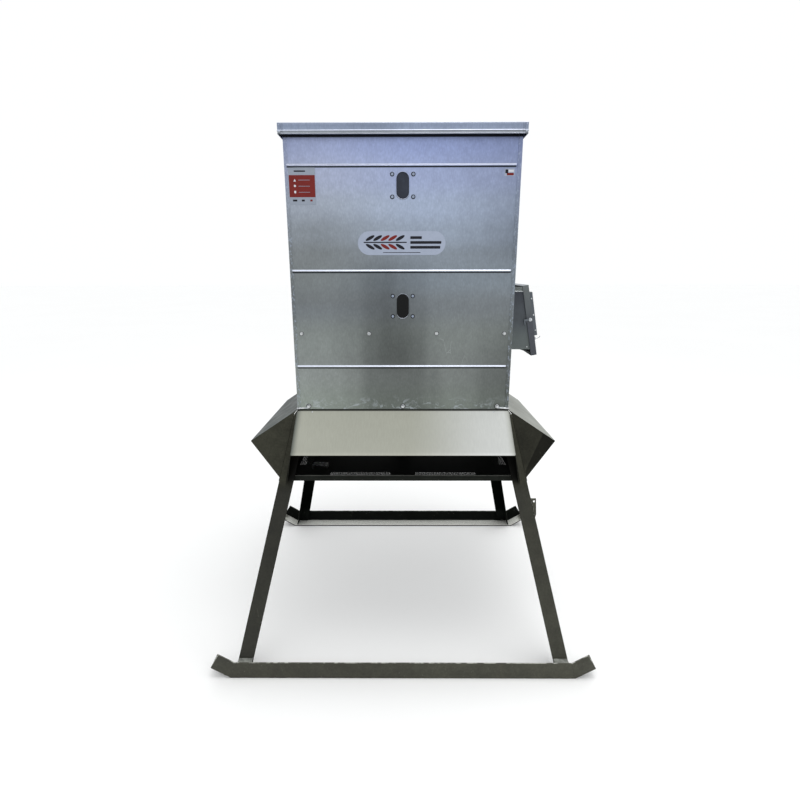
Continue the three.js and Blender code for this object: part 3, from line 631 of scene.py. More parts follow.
def walls(loop, lift):
    """Quads from a loop of vertex numbers to the same loop with numbers higher by lift."""
    loop = list(loop)
    return [[a, b, b + lift, a + lift] for a, b in zip(loop, loop[1:] + loop[:1])]


def grid_rim(columns, rows):
    """Vertex numbers round the edge of a grid that is stored row by row."""
    last = (rows - 1) * columns
    right = range(columns - 1, last + columns, columns)
    return [*range(columns - 1), *right, *range(last + columns - 2, last, -1), *range(last, 0, -columns)]


class Solid:
    """Vertices and faces of one piece in millimetres. It may hold several closed bodies."""

    def __init__(self):
        self.vertices = []
        self.faces = []

    def take(self, vertices, faces, place=None):
        first = len(self.vertices)
        points = (Vector(v) for v in vertices)
        self.vertices += [place @ p for p in points] if place else list(points)
        self.faces += [[first + i for i in face] for face in faces]
        return self

    def loft(self, rings, place=None, cyclic=False):
        """A tube through equal loops of points. Its ends are capped unless it closes on itself."""
        count, size = len(rings), len(rings[0])
        faces = []
        for i in range(count if cyclic else count - 1):
            faces += walls(range(i * size, (i + 1) * size), ((i + 1) % count - i) * size)
        if not cyclic:
            faces += [list(range(size))[::-1], list(range((count - 1) * size, count * size))]
        return self.take([p for ring in rings for p in ring], faces, place)

    def lathe(self, profile, segments=16, place=None):
        """profile is (radius, height) from the bottom up."""
        turns = [2 * math.pi * i / segments for i in range(segments)]
        rings = [[(r * math.cos(a), r * math.sin(a), z) for a in turns] for r, z in profile]
        return self.loft(rings, place)

    def prism(self, outline, low, high, place=None, chamfer=0.0):
        """outline is a loop of (x, y). The top edge is drawn in by about chamfer."""
        rings = [level(outline, low), level(outline, high - chamfer)]
        if chamfer:
            rings.append(level(drawn_in(outline, chamfer), high))
        return self.loft(rings, place)


def drawn_in(outline, amount):
    """A convex counter-clockwise outline moved inwards by amount."""
    points = [Vector(p) for p in outline]
    moved = []
    for i, point in enumerate(points):
        before = (point - points[i - 1]).normalized()
        after = (points[(i + 1) % len(points)] - point).normalized()
        inward = (Vector((-before.y, before.x)) + Vector((-after.y, after.x))).normalized()
        spread = max(0.35, inward.dot(Vector((-after.y, after.x))))
        moved.append(tuple(point + inward * (amount / spread)))
    return moved


def rounded(width, height, radius, steps=5, middle=(0, 0)):
    """A counter-clockwise rounded rectangle; with radius = height / 2 it is an obround."""
    x, y = width / 2 - radius, height / 2 - radius
    points = []
    for corner, (cx, cy) in enumerate(((x, y), (-x, y), (-x, -y), (x, -y))):
        for i in range(steps + 1):
            angle = math.pi / 2 * (corner + i / steps)
            x_out, y_out = radius * math.cos(angle), radius * math.sin(angle)
            points.append((middle[0] + cx + x_out, middle[1] + cy + y_out))
    return [p for p, after in zip(points, points[1:] + points[:1]) if math.dist(p, after) > 1e-6 * width]


def oval(width, height, middle=(0, 0), turn=0.0, steps=18):
    """A counter-clockwise oval, turned about its middle."""
    points = []
    for i in range(steps):
        angle = 2 * math.pi * i / steps
        x, y = width / 2 * math.cos(angle), height / 2 * math.sin(angle)
        points.append((
            middle[0] + x * math.cos(turn) - y * math.sin(turn),
            middle[1] + x * math.sin(turn) + y * math.cos(turn),
        ))
    return points


def facing(origin, out, up=(0, 0, 1)):
    """The matrix of a local frame at origin: its z looks out, and its y is as near to up as it can be."""
    z = Vector(out).normalized()
    x = Vector(up).cross(z).normalized()
    turn = Matrix((x, z.cross(x), z)).transposed().to_4x4()
    return Matrix.Translation(Vector(origin)) @ turn


def object_of(name, solid, finish, slot=None, body="frame", sharp=32.0):
    """Makes a mesh object that rides on a body, smooth apart from edges sharper than sharp degrees. slot is
    not used."""
    mesh = bpy.data.meshes.new(name)
    mesh.from_pydata([v * MM for v in solid.vertices], [], solid.faces)
    work = bmesh.new()
    work.from_mesh(mesh)
    bmesh.ops.recalc_face_normals(work, faces=work.faces)
    work.to_mesh(mesh)
    work.free()
    mesh.shade_smooth()
    mesh.set_sharp_from_angle(angle=math.radians(sharp))
    mesh.materials.append(FINISHES[finish])
    piece = bpy.data.objects.new(name, mesh)
    bpy.context.scene.collection.objects.link(piece)
    slot = slot or finish
    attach(piece, body)
    return piece


def round_edges(piece, width):
    """Rounds the piece's sharp edges with a bevel modifier."""
    bevel = piece.modifiers.new("edges", "BEVEL")
    bevel.width = width * MM
    bevel.segments = 2
    bevel.limit_method = "ANGLE"
    bevel.angle_limit = SHARP
    bevel.harden_normals = True


def smoothing_group():
    """A node group that welds a CAD mesh's split vertices and lets it shade smoothly."""
    group = bpy.data.node_groups.new("weld_and_smooth", "GeometryNodeTree")
    for direction in ("INPUT", "OUTPUT"):
        group.interface.new_socket("Geometry", in_out=direction, socket_type="NodeSocketGeometry")

    def node(kind, **values):
        made = group.nodes.new(kind)
        for name, value in values.items():
            made.inputs[name].default_value = value
        return made

    merge = node("GeometryNodeMergeByDistance", Distance=2e-6)
    strip = node("GeometryNodeRemoveAttribute", Name="custom_normal")
    faces, edges = node("GeometryNodeSetShadeSmooth"), node("GeometryNodeSetShadeSmooth")
    edges.domain = "EDGE"
    gentle = node("FunctionNodeCompare", B=SHARP)
    gentle.operation = "LESS_THAN"
    group.links.new(node("GeometryNodeInputMeshEdgeAngle").outputs[0], gentle.inputs["A"])
    group.links.new(gentle.outputs[0], edges.inputs["Shade Smooth"])
    flow = node("NodeGroupInput").outputs[0]
    for step in (merge, strip, faces, edges):
        group.links.new(flow, step.inputs["Geometry"])
        flow = step.outputs["Geometry"]
    group.links.new(flow, node("NodeGroupOutput").inputs[0])
    return group


# ---------- CAD nodes that stay: finishes and softened edges ----------
SMOOTHING = smoothing_group()
BEVEL_BY_NAME = {  # the first part of a node's name that matches sets its edge radius, mm
    "skid": 1.4,
    "leg": 1.3,
    "gusset": 0.7,
    "awning": 0.7,
    "rail": 1.0,
    "lug": 0.8,
    "control_box": 0.5,
    "control_door": 0.7,
    "battery": 2.5,
    "timer": 1.6,
    "button": 0.9,
    "motor_bracket": 0.8,
    "motor": 1.6,
    "hub": 1.0,
    "spinner_plate": 0.6,
    "spout": 0.6,
    "gate": 0.5,
    "latch": 0.8,
    "hinge": 0.35,
    "pin": 0.3,
    "funnel": 0.5,
}


def finish_of(name, slot):
    """The finish of a CAD node: its material slot's own, apart from a few nodes."""
    if "rail" in name or name == "feed_pan":
        return "bronze_shaded"
    if name.endswith("_leg"):
        return "bronze_leg"
    if slot == "zinc_steel" and name not in ("lead_hook", "pan_tab", "door_latch"):
        return "zinc_sheet"
    return {"door_latch": "latch", "control_door": "door_enamel"}.get(name, slot)


def dress_cad_nodes():
    """Gives every CAD node its finish, smooth shading and, where it has a width, softened edges."""
    slots = {part["node"]: part["material_slot"] for part in frame["record"]["subparts"]}
    for name, node in frame["nodes"].items():
        node.data.materials.clear()
        node.data.materials.append(FINISHES[finish_of(name, slots[name])])
        node.modifiers.new("smooth", "NODES").node_group = SMOOTHING
        width = next((w for part, w in BEVEL_BY_NAME.items() if part in name), None)
        if width:
            round_edges(node, width)


dress_cad_nodes()


# ---------- Fasteners ----------
def dome(solid, place, radius, height, base=0.6):
    """A round rivet head."""
    profile = [(radius, -base), (radius, 0.15 * height)]
    for degrees in (25, 50, 70, 82):
        angle = math.radians(degrees)
        profile.append((radius * math.cos(angle), 0.15 * height + 0.85 * height * math.sin(angle)))
    return solid.lathe(profile, 14, place)


def hex_bolt(solid, place, across, height, washer, turn=0.0):
    """A hexagon head with its chamfer, on a washer with a rolled edge."""
    solid.lathe([(washer, -0.5), (washer, 1.0), (washer - 0.5, 1.5), (washer * 0.55, 1.5)], 24, place)
    radius = across / math.sqrt(3)
    corners = [turn + math.pi / 3 * i for i in range(6)]
    rings = [
        [(r * math.cos(a), r * math.sin(a), z) for a in corners]
        for r, z in ((radius, 1.3), (radius, 1.5 + height * 0.72), (radius * 0.86, 1.5 + height))
    ]
    return solid.loft(rings, place)


FRONT, REAR, LEFT, RIGHT = (0, -1, 0), (0, 1, 0), (-1, 0, 0), (1, 0, 0)


def on_wall(out, along, z, proud=0.0):
    """A place on a hopper wall's outer face, along its width at a height."""
    if out[1]:
        return facing((along, out[1] * (FRONT_FACE + proud), z), out)
    return facing((out[0] * (HALF_WIDTH + proud), along, z), out)


def seal(solid, place, radius):
    """A thin dark rubber washer, whose dark ring also stands in for the shadow round the head above it."""
    return solid.lathe([(radius, -0.5), (radius, 0.5), (radius - 0.4, 0.8), (radius * 0.5, 0.8)], 24, place)


def hopper_fasteners():
    """Hexagon bolts that hold the funnel, and those through the bottom hem into the base ring."""
    for name, out in (("front", FRONT), ("rear", REAR), ("left", LEFT), ("right", RIGHT)):
        bolts, seals = Solid(), Solid()
        kind = "ends" if out[1] else "sides"
        for row in BOLT_ROWS:
            for along in row[kind]:
                if name == "right" and along == 0:
                    continue  # the control box covers the middle of the right wall
                seal(seals, on_wall(out, along, row["height"]), row["seal"])
                hex_bolt(bolts, on_wall(out, along, row["height"], 0.6), *row["bolt"], RNG.uniform(0, 1))
        object_of(f"{name}_wall_bolts", bolts, "zinc_steel")
        object_of(f"{name}_wall_seals", seals, "seal_and_shadow", "black_plastic")


hopper_fasteners()


# ---------- Hopper walls ----------
def bead(distance):
    """How far a rolled bead stands out at a distance above or below its middle."""
    share = min(1.0, abs(distance) / RIB["half"])
    return RIB["proud"] * 0.5 * (1 + math.cos(math.pi * share))


def ease(value):
    """Eases from 0 to 1, and stays there outside."""
    value = min(1.0, max(0.0, value))
    return value * value * (3 - 2 * value)


def wall_solid(half, seed, shift, place):
    """Closed sheet with three rolled beads, in local x along the wall, y up and z out."""
    waves = random.Random(seed)
    swing = [waves.uniform(0.7, 1.3) for _ in range(4)]
    reach = half - RIB["inset"]
    us = {half * i / 26 for i in range(-26, 27)}
    run_outs = {side * (reach - inside) - shift for side in (-1, 1) for inside in (0, 1.5, 3, 5, 9)}
    us = sorted(us | run_outs)
    zs = [WALL_Z[0] + (WALL_Z[1] - WALL_Z[0]) * i / 40 for i in range(41)]
    clear = [z for z in zs if min(abs(z - rib) for rib in RIB["heights"]) > RIB["half"] + 1.5]
    zs = sorted(clear + [rib + RIB["half"] * t / 7 for rib in RIB["heights"] for t in range(-7, 8)])

    def stands_out(u, z):
        run_out = ease((reach - abs(u + shift)) / 5)
        panel = math.sin(math.pi * (u / half + 1) / 2 * 2 * swing[0]) * math.sin(z / 95 * swing[1])
        ripple = 0.35 * panel + 0.35 * math.sin(u / 130 * swing[2]) * math.sin(z / 61 * swing[3])
        calm = ease((half - abs(u)) / 60) * ease((z - WALL_Z[0]) / 40) * ease((WALL_Z[1] - z) / 40)
        return run_out * max(bead(z - rib) for rib in RIB["heights"]) + calm * (min(ripple, 0.7) - 0.7)

    columns, rows = len(us), len(zs)
    outer = [(u, z, stands_out(u, z)) for z in zs for u in us]
    inner = [(u, z, d - SHEET) for u, z, d in outer]
    count = len(outer)
    faces = []
    for first in (r * columns + c for r in range(rows - 1) for c in range(columns - 1)):
        quad = [first, first + 1, first + columns + 1, first + columns]
        faces += [quad, [count + i for i in quad[::-1]]]
    return Solid().take(outer + inner, faces + walls(grid_rim(columns, rows), count), place)


def wall_piece(name, out, half, seed, lap, shift=0.0):
    """shift moves the ribs' ends along the wall."""
    place = on_wall(out, 0, 0)
    whole = wall_solid(half, seed, shift, place)
    if lap:
        for side in (-1, 1):
            middle = (side * (half - LAP["width"] / 2), (WALL_Z[0] + WALL_Z[1]) / 2)
            strip = rounded(LAP["width"], WALL_Z[1] - WALL_Z[0] - 2, 1.2, 2, middle)
            whole.prism(strip, -0.4, LAP["proud"], place, chamfer=0.5)
    piece = object_of(f"{name}_sheet", whole, "galvanised", sharp=40)
    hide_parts(name)
    return piece


def cut_windows(piece):
    """Cuts the two sight windows through the front sheet."""
    cutters = Solid()
    for height in WINDOW["heights"]:
        outline = rounded(WINDOW["width"], WINDOW["height"], WINDOW["width"] / 2, 10, (WINDOW["x"], height))
        cutters.prism(outline, -12, 12, on_wall(FRONT, 0, 0))
    tool = object_of("window_cutters", cutters, "galvanised")
    boolean = piece.modifiers.new("windows", "BOOLEAN")
    boolean.operation = "DIFFERENCE"
    boolean.solver = "EXACT"
    boolean.object = tool
    evaluated = piece.evaluated_get(bpy.context.evaluated_depsgraph_get())
    cut = bpy.data.meshes.new_from_object(evaluated)
    cut.set_sharp_from_angle(angle=math.radians(40))
    piece.modifiers.clear()
    piece.data = cut
    bpy.data.objects.remove(tool)


FRONT_SHEET = wall_piece("hopper_front", FRONT, HALF_WIDTH, 3, True, 5.0)
cut_windows(FRONT_SHEET)
wall_piece("hopper_rear", REAR, HALF_WIDTH, 5, True)
wall_piece("hopper_left", LEFT, SIDE_HALF, 7, False)
wall_piece("hopper_right", RIGHT, SIDE_HALF, 9, False)


def window_trim():
    """A rolled rim round each sight window, and the four rivets that hold its pane."""
    rims, rivets, seals = Solid(), Solid(), Solid()
    for height in WINDOW["heights"]:
        rings = []
        for grow, proud in ((0.0, -0.4), (-0.2, 0.9), (0.6, 1.5), (1.8, 1.2), (2.6, -0.4)):
            width, tall = WINDOW["width"] + 2 * grow, WINDOW["height"] + 2 * grow
            rings.append(level(rounded(width, tall, width / 2, 10, (WINDOW["x"], height)), proud))
        rims.loft(rings, on_wall(FRONT, 0, 0), cyclic=True)
        for dx in (-1, 1):
            for dz in (-1, 1):
                middle = (WINDOW["x"] + dx * WINDOW["rivet"], height + dz * WINDOW["rivet"])
                seal(seals, on_wall(FRONT, *middle), 8.4)
                dome(rivets, on_wall(FRONT, *middle, 0.6), 5.6, 3.0)
    object_of("window_rims", rims, "galvanised")
    object_of("window_rivets", rivets, "rivet", "zinc_steel")
    object_of("window_seals", seals, "seal_and_shadow", "black_plastic")


window_trim()


def hem_lips():
    """Short bright lips that flare out from the hopper's bottom corners to the outer hem bolts."""
    lips = Solid()
    for end in (-1, 1):
        for side in (-1, 1):
            rings = []
            for i in range(15):
                t = i / 14
                x = side * (HALF_WIDTH + 1.2 - 52 * t)
                rise = 7.5 * (1 - 0.45 * math.sin(math.pi * t))
                flare = 5.5 * (1 - ease(t)) + 0.6
                y = FRONT_FACE + flare
                z = WALL_Z[0] + 0.5 + 2.5 * t
                back = -flare - 0.8
                section = [(0, 0), (2.2, 0.8), (2.6, rise * 0.5), (1.4, rise), (back, rise + 2), (back, 1)]
                rings.append([(x, end * (y + dy), z + dz) for dy, dz in section])
            lips.loft(rings)
    object_of("bottom_corner_lips", lips, "zinc_steel", "galvanised", sharp=50)


hem_lips()


# ---------- Lid ----------
def rect_ring(half_x, half_y, z, radius):
    """A loop of points round the middle axis: a rectangle with rounded corners."""
    return level(rounded(2 * half_x, 2 * half_y, max(radius, 0.3), 4), z)


def lid_piece():
    """Sheet lid: a top that rises to its middle, a creased skirt with a hem, and tucked corner folds."""
    half_x, half_y = LID_HALF
    top, low = LID_TOP, LID_TOP - LID_SKIRT
    steps = [  # how far in from the outside, and the height
        (12, top), (2.0, top), (0.6, top - 0.6), (0, top - 2.2),
        (0, top - 25.0), (-1.8, top - 27.0), (-2.0, top - 29.0), (0.2, top - 30.6),
        (0.2, low + 3), (-0.5, low + 1.6), (0.1, low + 0.2), (1.6, low), (2.6, low + 1),
        (2.8, low + 9), (SHEET, low + 9.4), (SHEET, top - SHEET - 1), (SHEET + 1, top - SHEET),
        (12, top - SHEET),
    ]
    rings = [rect_ring(half_x - inset, half_y - inset, z, 3.0 - min(inset, 2.5)) for inset, z in steps]
    size, inside = len(rings[0]), (len(rings) - 1) * len(rings[0])
    peak = top + LID_RISE
    vertices = [p for ring in rings for p in ring] + [(0, 0, peak), (0, 0, peak - SHEET)]
    faces = [quad for first in range(0, inside, size) for quad in walls(range(first, first + size), size)]
    for first, apex in ((0, inside + size), (inside, inside + size + 1)):
        faces += [[first + j, first + (j + 1) % size, apex] for j in range(size)]
    sheet = Solid().take(vertices, faces)
    piece = object_of("lid_sheet", sheet, "galvanised_lid", "galvanised", body="lid", sharp=12)
    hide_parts("lid")

    folds = Solid()
    for end in (FRONT, REAR):
        for side in (-1, 1):
            tab = rounded(11, LID_SKIRT - 3, 1.0, 2, (side * (half_x - 6.5), top - LID_SKIRT / 2))
            face = facing((0, end[1] * half_y, 0), end)
            if end is REAR:
                tab = [(-x, y) for x, y in tab][::-1]
            folds.prism(tab, -0.4, 1.7, face, chamfer=0.5)
            for height in (10, 33):
                spot = facing((side * (half_x - 6.5), end[1] * (half_y + 1.6), top - height), end)
                dome(folds, spot, 2.4, 0.7, 0.4)
    object_of("lid_corner_folds", folds, "galvanised_lid", "galvanised", body="lid")


lid_piece()


# ---------- Decals on the front wall: plain generic marks, no lettering ----------
class Decal:
    """A sticker on the front wall, laid out round its middle in millimetres."""

    def __init__(self, name, x, z):
        self.name = name
        self.x = x
        self.z = z
        self.layers = {}

    def add(self, finish, outline, layer):
        """Puts a shape on the sticker. Layer 0 lies on the wall, 1 and 2 above it."""
        shift = [(self.x + u, self.z + v) for u, v in outline]
        low, high = (0.2, 0.25 + 0.12 * layer) if layer else (-0.9, 0.25)
        self.layers.setdefault(finish, Solid()).prism(shift, low, high, on_wall(FRONT, 0, 0))

    def bar(self, finish, u, v, width, height, layer=1, radius=None):
        if radius is None:
            radius = min(width, height) * 0.2
        self.add(finish, rounded(width, height, radius, 3, (u, v)), layer)

    def done(self):
        for finish, solid in self.layers.items():
            colour = finish.split("_")[1]
            object_of(f"{self.name}_{colour}", solid, finish, "galvanised")


def front_sticker():
    """Pale obround sticker with an ear of grain lying on its side and plain bars."""
    decal = Decal("front_sticker", -4, 1783)
    decal.add("decal_white", rounded(350, 91, 45.5, 12), 0)
    decal.bar("decal_dark", -66, 3, 172, 4.5)
    for i in range(5):
        finish = "decal_red" if i in (2, 3) else "decal_dark"
        for side in (-1, 1):
            decal.add(finish, oval(40, 12.5, (-126 + 30 * i, 3 + 16.5 * side), 0.5 * side), 1)
    for row, width in enumerate((46, 124, 120)):
        decal.bar("decal_dark", 34 + width / 2, 21 - 18.5 * row, width, 10.5)
    decal.bar("decal_dark", 0, -36, 150, 2.4)
    decal.done()


def red_label():
    """Instruction label: pale head and foot bands and a red field with three plain shapes and bars."""
    decal = Decal("instruction_label", -391, 1995)
    decal.bar("decal_grey", 0, 0, 104, 136, 0, 3)
    decal.bar("decal_red", 0, 0, 101, 80, 1, 1.5)
    decal.bar("decal_dark", -8, 54, 44, 5)
    shapes = (
        [(-33, 17), (-23, 17), (-28, 26)],
        oval(8.5, 8.5, (-28, 1)),
        rounded(7.5, 9, 1.5, 3, (-28, -21)),
    )
    for row, shape in enumerate(shapes):
        decal.add("decal_pale", shape, 2)
        decal.bar("decal_grey", 8, 22 - 22 * row, 44, 1.4, 2)
    for u, width, finish in ((-30, 17, "decal_dark"), (2, 12, "decal_dark"), (34, 9, "decal_red")):
        decal.bar(finish, u, -52, width, 7)
    decal.done()


def block_tag():
    """Small tag of plain colour blocks."""
    decal = Decal("block_tag", 412, 2043)
    decal.bar("decal_white", 0, 0, 38, 27, 0, 1)
    decal.bar("decal_pale", 6, 5, 20, 7)
    decal.bar("decal_dark", -11, 3.5, 11, 14)
    decal.bar("decal_red", 3, -6.5, 27, 9)
    decal.done()


front_sticker()
red_label()
block_tag()


# ---------- Pan with perforated drain strips ----------
def perforated(solid, x_range, y_range, low, high):
    """A closed plate with a round drain hole in every cell of a square grid."""
    columns, rows = (round((b - a) / PERFORATION["pitch"]) for a, b in (x_range, y_range))
    dx, dy = (x_range[1] - x_range[0]) / columns, (y_range[1] - y_range[0]) / rows
    wide = columns + 1
    corners = [(x_range[0] + i * dx, y_range[0] + j * dy) for j in range(rows + 1) for i in range(wide)]
    vertices = level(corners, low) + level(corners, high)
    above = len(corners)
    faces = walls(grid_rim(wide, rows + 1), above)
    for i, j in ((i, j) for j in range(rows) for i in range(columns)):
        middle = Vector((x_range[0] + (i + 0.5) * dx, y_range[0] + (j + 0.5) * dy))
        turns = (math.radians(202.5 + 45 * k) for k in range(8))
        hole = [middle + PERFORATION["hole"] * Vector((math.cos(a), math.sin(a))) for a in turns]
        first = len(vertices)
        vertices += level(hole, low) + level(hole, high)
        square = [j * wide + i, j * wide + i + 1, (j + 1) * wide + i + 1, (j + 1) * wide + i]
        for up, lift, start in ((False, 0, first), (True, above, first + 8)):
            for k in range(4):
                a, b = square[k] + lift, square[(k + 1) % 4] + lift
                near, far = start + 2 * k + 1, start + (2 * k + 2) % 8
                for face in ([a, b, far, near], [a, near, near - 1]):
                    faces.append(face if up else face[::-1])
        faces += walls(range(first, first + 8), 8)
    solid.take(vertices, faces)


def gridded_plate(solid, xs, ys, holed, low, high):
    """One closed plate on a grid of lines, with an opening in place of each cell in holed."""
    nx = len(xs)
    corners = [(x, y) for y in ys for x in xs]
    above = len(corners)
    cells = {(i, j) for i in range(nx - 1) for j in range(len(ys) - 1)} - holed
    faces = []
    for i, j in sorted(cells):
        first = j * nx + i
        square = [first, first + 1, first + nx + 1, first + nx]
        faces += [square[::-1], [corner + above for corner in square]]
        for side, beyond in enumerate(((i, j - 1), (i + 1, j), (i, j + 1), (i - 1, j))):
            if beyond not in cells:
                a, b = square[side], square[(side + 1) % 4]
                faces.append([a, b, b + above, a + above])
    solid.take(level(corners, low) + level(corners, high), faces)


def pan_piece():
    """Feed pan: a rolled rim, a floor with eight openings, and a perforated drain strip in each."""
    half_x, half_y = PAN_HIGH.x, PAN_HIGH.y
    low, high = PAN_LOW.z, PAN_HIGH.z
    floor = low + PAN_THICK
    inner_x, inner_y = half_x - PAN_MARGIN, half_y - PAN_MARGIN
    steps = [
        (PAN_MARGIN, low), (3, low), (1, low + 0.9), (0, low + 3), (0, high - 1), (0.5, high),
        (7.5, high), (8, high - 1), (7.5, high - 2), (PAN_THICK + 0.5, high - 2.4),
        (PAN_THICK, floor + 2.5), (PAN_THICK + 0.8, floor + 0.8), (PAN_THICK + 2.5, floor),
        (PAN_MARGIN, floor),
    ]
    rim = [rect_ring(half_x - inset, half_y - inset, z, 4 - min(inset, 3.7)) for inset, z in steps]
    pan = Solid().loft(rim, cyclic=True)
    xs = (-inner_x, -485, -430, -326, -55, 55, 326, 430, 485, inner_x)
    ys = (-inner_y, -395, -340, -250, -55, 55, 250, 340, 395, inner_y)
    holed = {(i, j) for i in (3, 5) for j in (1, 7)} | {(i, j) for i in (1, 7) for j in (3, 5)}
    strips = Solid()
    gridded_plate(pan, xs, ys, holed, low, floor)
    for i, j in sorted(holed):
        perforated(strips, (xs[i], xs[i + 1]), (ys[j], ys[j + 1]), floor - PERFORATION["thick"], floor)
    piece = object_of("feed_pan_sheet", pan, "bronze_shaded", "bronze_paint")
    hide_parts("feed_pan")
    object_of("pan_drain_strips", strips, "bronze_shaded", "bronze_paint")


pan_piece()


# ---------- Weld beads ----------
def weld(solid, start, end, radius, facets=7):
    """A rippled bead along a straight seam."""
    start, end = Vector(start), Vector(end)
    run = end - start
    count = max(4, round(run.length / (radius * 0.8)))
    along = run.normalized()
    side = along.orthogonal().normalized()
    other = along.cross(side)
    rings = []
    for i in range(count + 1):
        swell = (0.8, 1.0)[i % 2] * (0.5 if i in (0, count) else 1.0)
        size = radius * swell * RNG.uniform(0.9, 1.1)
        middle = start + run * (i / count) + side * RNG.uniform(-0.2, 0.2)
        turns = (2 * math.pi * k / facets for k in range(facets))
        rings.append([middle + size * (math.cos(a) * side + math.sin(a) * other) for a in turns])
    solid.loft(rings)


def heel(z):
    """The outer heel of the right rear leg at a height."""
    share = (z - FOOT[2]) / (HEAD[2] - FOOT[2])
    return Vector((FOOT[0] + (HEAD[0] - FOOT[0]) * share, FOOT[1] + (HEAD[1] - FOOT[1]) * share, z))


def welds():
    """Beads at the legs' feet and tops, on the skids' mitred corners and along the awnings' ends."""
    for end_name, end in (("front", -1), ("rear", 1)):
        painted, bare = Solid(), Solid()

        def seam(solid, across, start, finish, radius):
            mirror = Vector((across, end, 1))
            weld(solid, Vector(start) * mirror, Vector(finish) * mirror, radius)

        for across in (-1, 1):
            top = heel(SKID_FLANGE)
            for step, radius in ((1.0, 3.4), (6.5, 4.0), (12.5, 4.2), (18.5, 3.6)):
                start = (top.x - 61, top.y + step, top.z - 1.5)
                seam(bare, across, start, (top.x - 1, top.y + step, top.z - 1.5), radius)
            foot = heel(FOOT[2] + 1)
            seam(bare, across, (foot.x + 1, foot.y - 4, foot.z), (foot.x + 1, foot.y - 60, foot.z), 2.4)
            offset = Vector((0.8, 0.3, 0))
            seam(painted, across, heel(800) + offset, heel(1068) + offset, 1.5)
            mitre = SKID_BEND_X - (SKID_FLANGE - 4) * math.tan(SKID_TIP / 2)
            face = SKID_OUTER - 0.3
            seam(painted, across, (SKID_BEND_X, face, 1.5), (mitre, face, SKID_FLANGE - 2), 1.2)
            awning = box_mm("front_awning")
            upper, lower = (awning[1].x, -awning[1].y + 3, 1092), (awning[1].x, -awning[0].y - 3, 950)
            seam(painted, across, upper, lower, 1.3)
        object_of(f"{end_name}_seam_welds", painted, "bronze_paint", "bronze_paint", sharp=60)
        object_of(f"{end_name}_foot_welds", bare, "weld", "bronze_paint", sharp=60)


welds()


# ---------- Control box ----------
def door_point(out, along, up):
    """A point given in the door's own frame: out of its face, along Y, up its slope."""
    return DOOR_MIDDLE + DOOR_OUT * out + Vector((0, along, 0)) + DOOR_UP * up


def door_place(out=0.0, along=0.0, up=0.0):
    """Local x along +Y, y up the door, z out of its face."""
    turn = Matrix((Vector((0, 1, 0)), DOOR_UP, DOOR_OUT)).transposed().to_4x4()
    return Matrix.Translation(door_point(out, along, up)) @ turn


def solar_pieces():
    """Framed solar panel: anodised border, laminate, cell grid lines and the border's rivets."""
    width, height = 2 * SOLAR["half"], SOLAR["high"] - SOLAR["low"]
    back, front, border = SOLAR["back"], SOLAR["back"] + SOLAR["thick"], SOLAR["border"]
    place = door_place(0, 0, (SOLAR["low"] + SOLAR["high"]) / 2)
    section = (
        (0, back), (0, front - 0.8), (0.8, front),
        (border - 0.6, front), (border, front - 0.6), (border, back),
    )
    rings = [level(rounded(width - 2 * inset, height - 2 * inset, 1.4, 3), z) for inset, z in section]
    object_of("solar_frame", Solid().loft(rings, place, cyclic=True), "edge_dark", "solar_cell", body="door")
    width, height = width - 2 * border, height - 2 * border
    laminate = Solid().prism(rounded(width - 0.2, height - 0.2, 0.8, 2), back, front - 1.6, place)
    cells = object_of("solar_laminate", laminate, "solar_cell", body="door")
    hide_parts("solar_panel")

    lines = Solid()
    for step in range(-2, 3):
        lines.prism(rounded(1.0, height - 12, 0.3, 1, (step * 35, 0)), front - 1.8, front - 1.45, place)
    for step in range(-4, 5):
        lines.prism(rounded(width - 12, 0.7, 0.2, 1, (0, step * 19)), front - 1.8, front - 1.5, place)
    object_of("solar_busbars", lines, "aluminium", "solar_cell", body="door")

    rivets = Solid()
    for up in (95.5, 21.0, -50.0):
        for side in (-1, 1):
            spot = door_point(SOLAR["thick"] * 0.6, side * SOLAR["half"], up)
            dome(rivets, facing(spot, (0, side, 0), DOOR_UP), 3.8, 2.2)
    for up in (-69.5, 120.5):
        for along in (-120.5, 120.5):
            dome(rivets, door_place(front, along, up), 2.6, 1.2)
    object_of("solar_rivets", rivets, "zinc_steel", body="door")


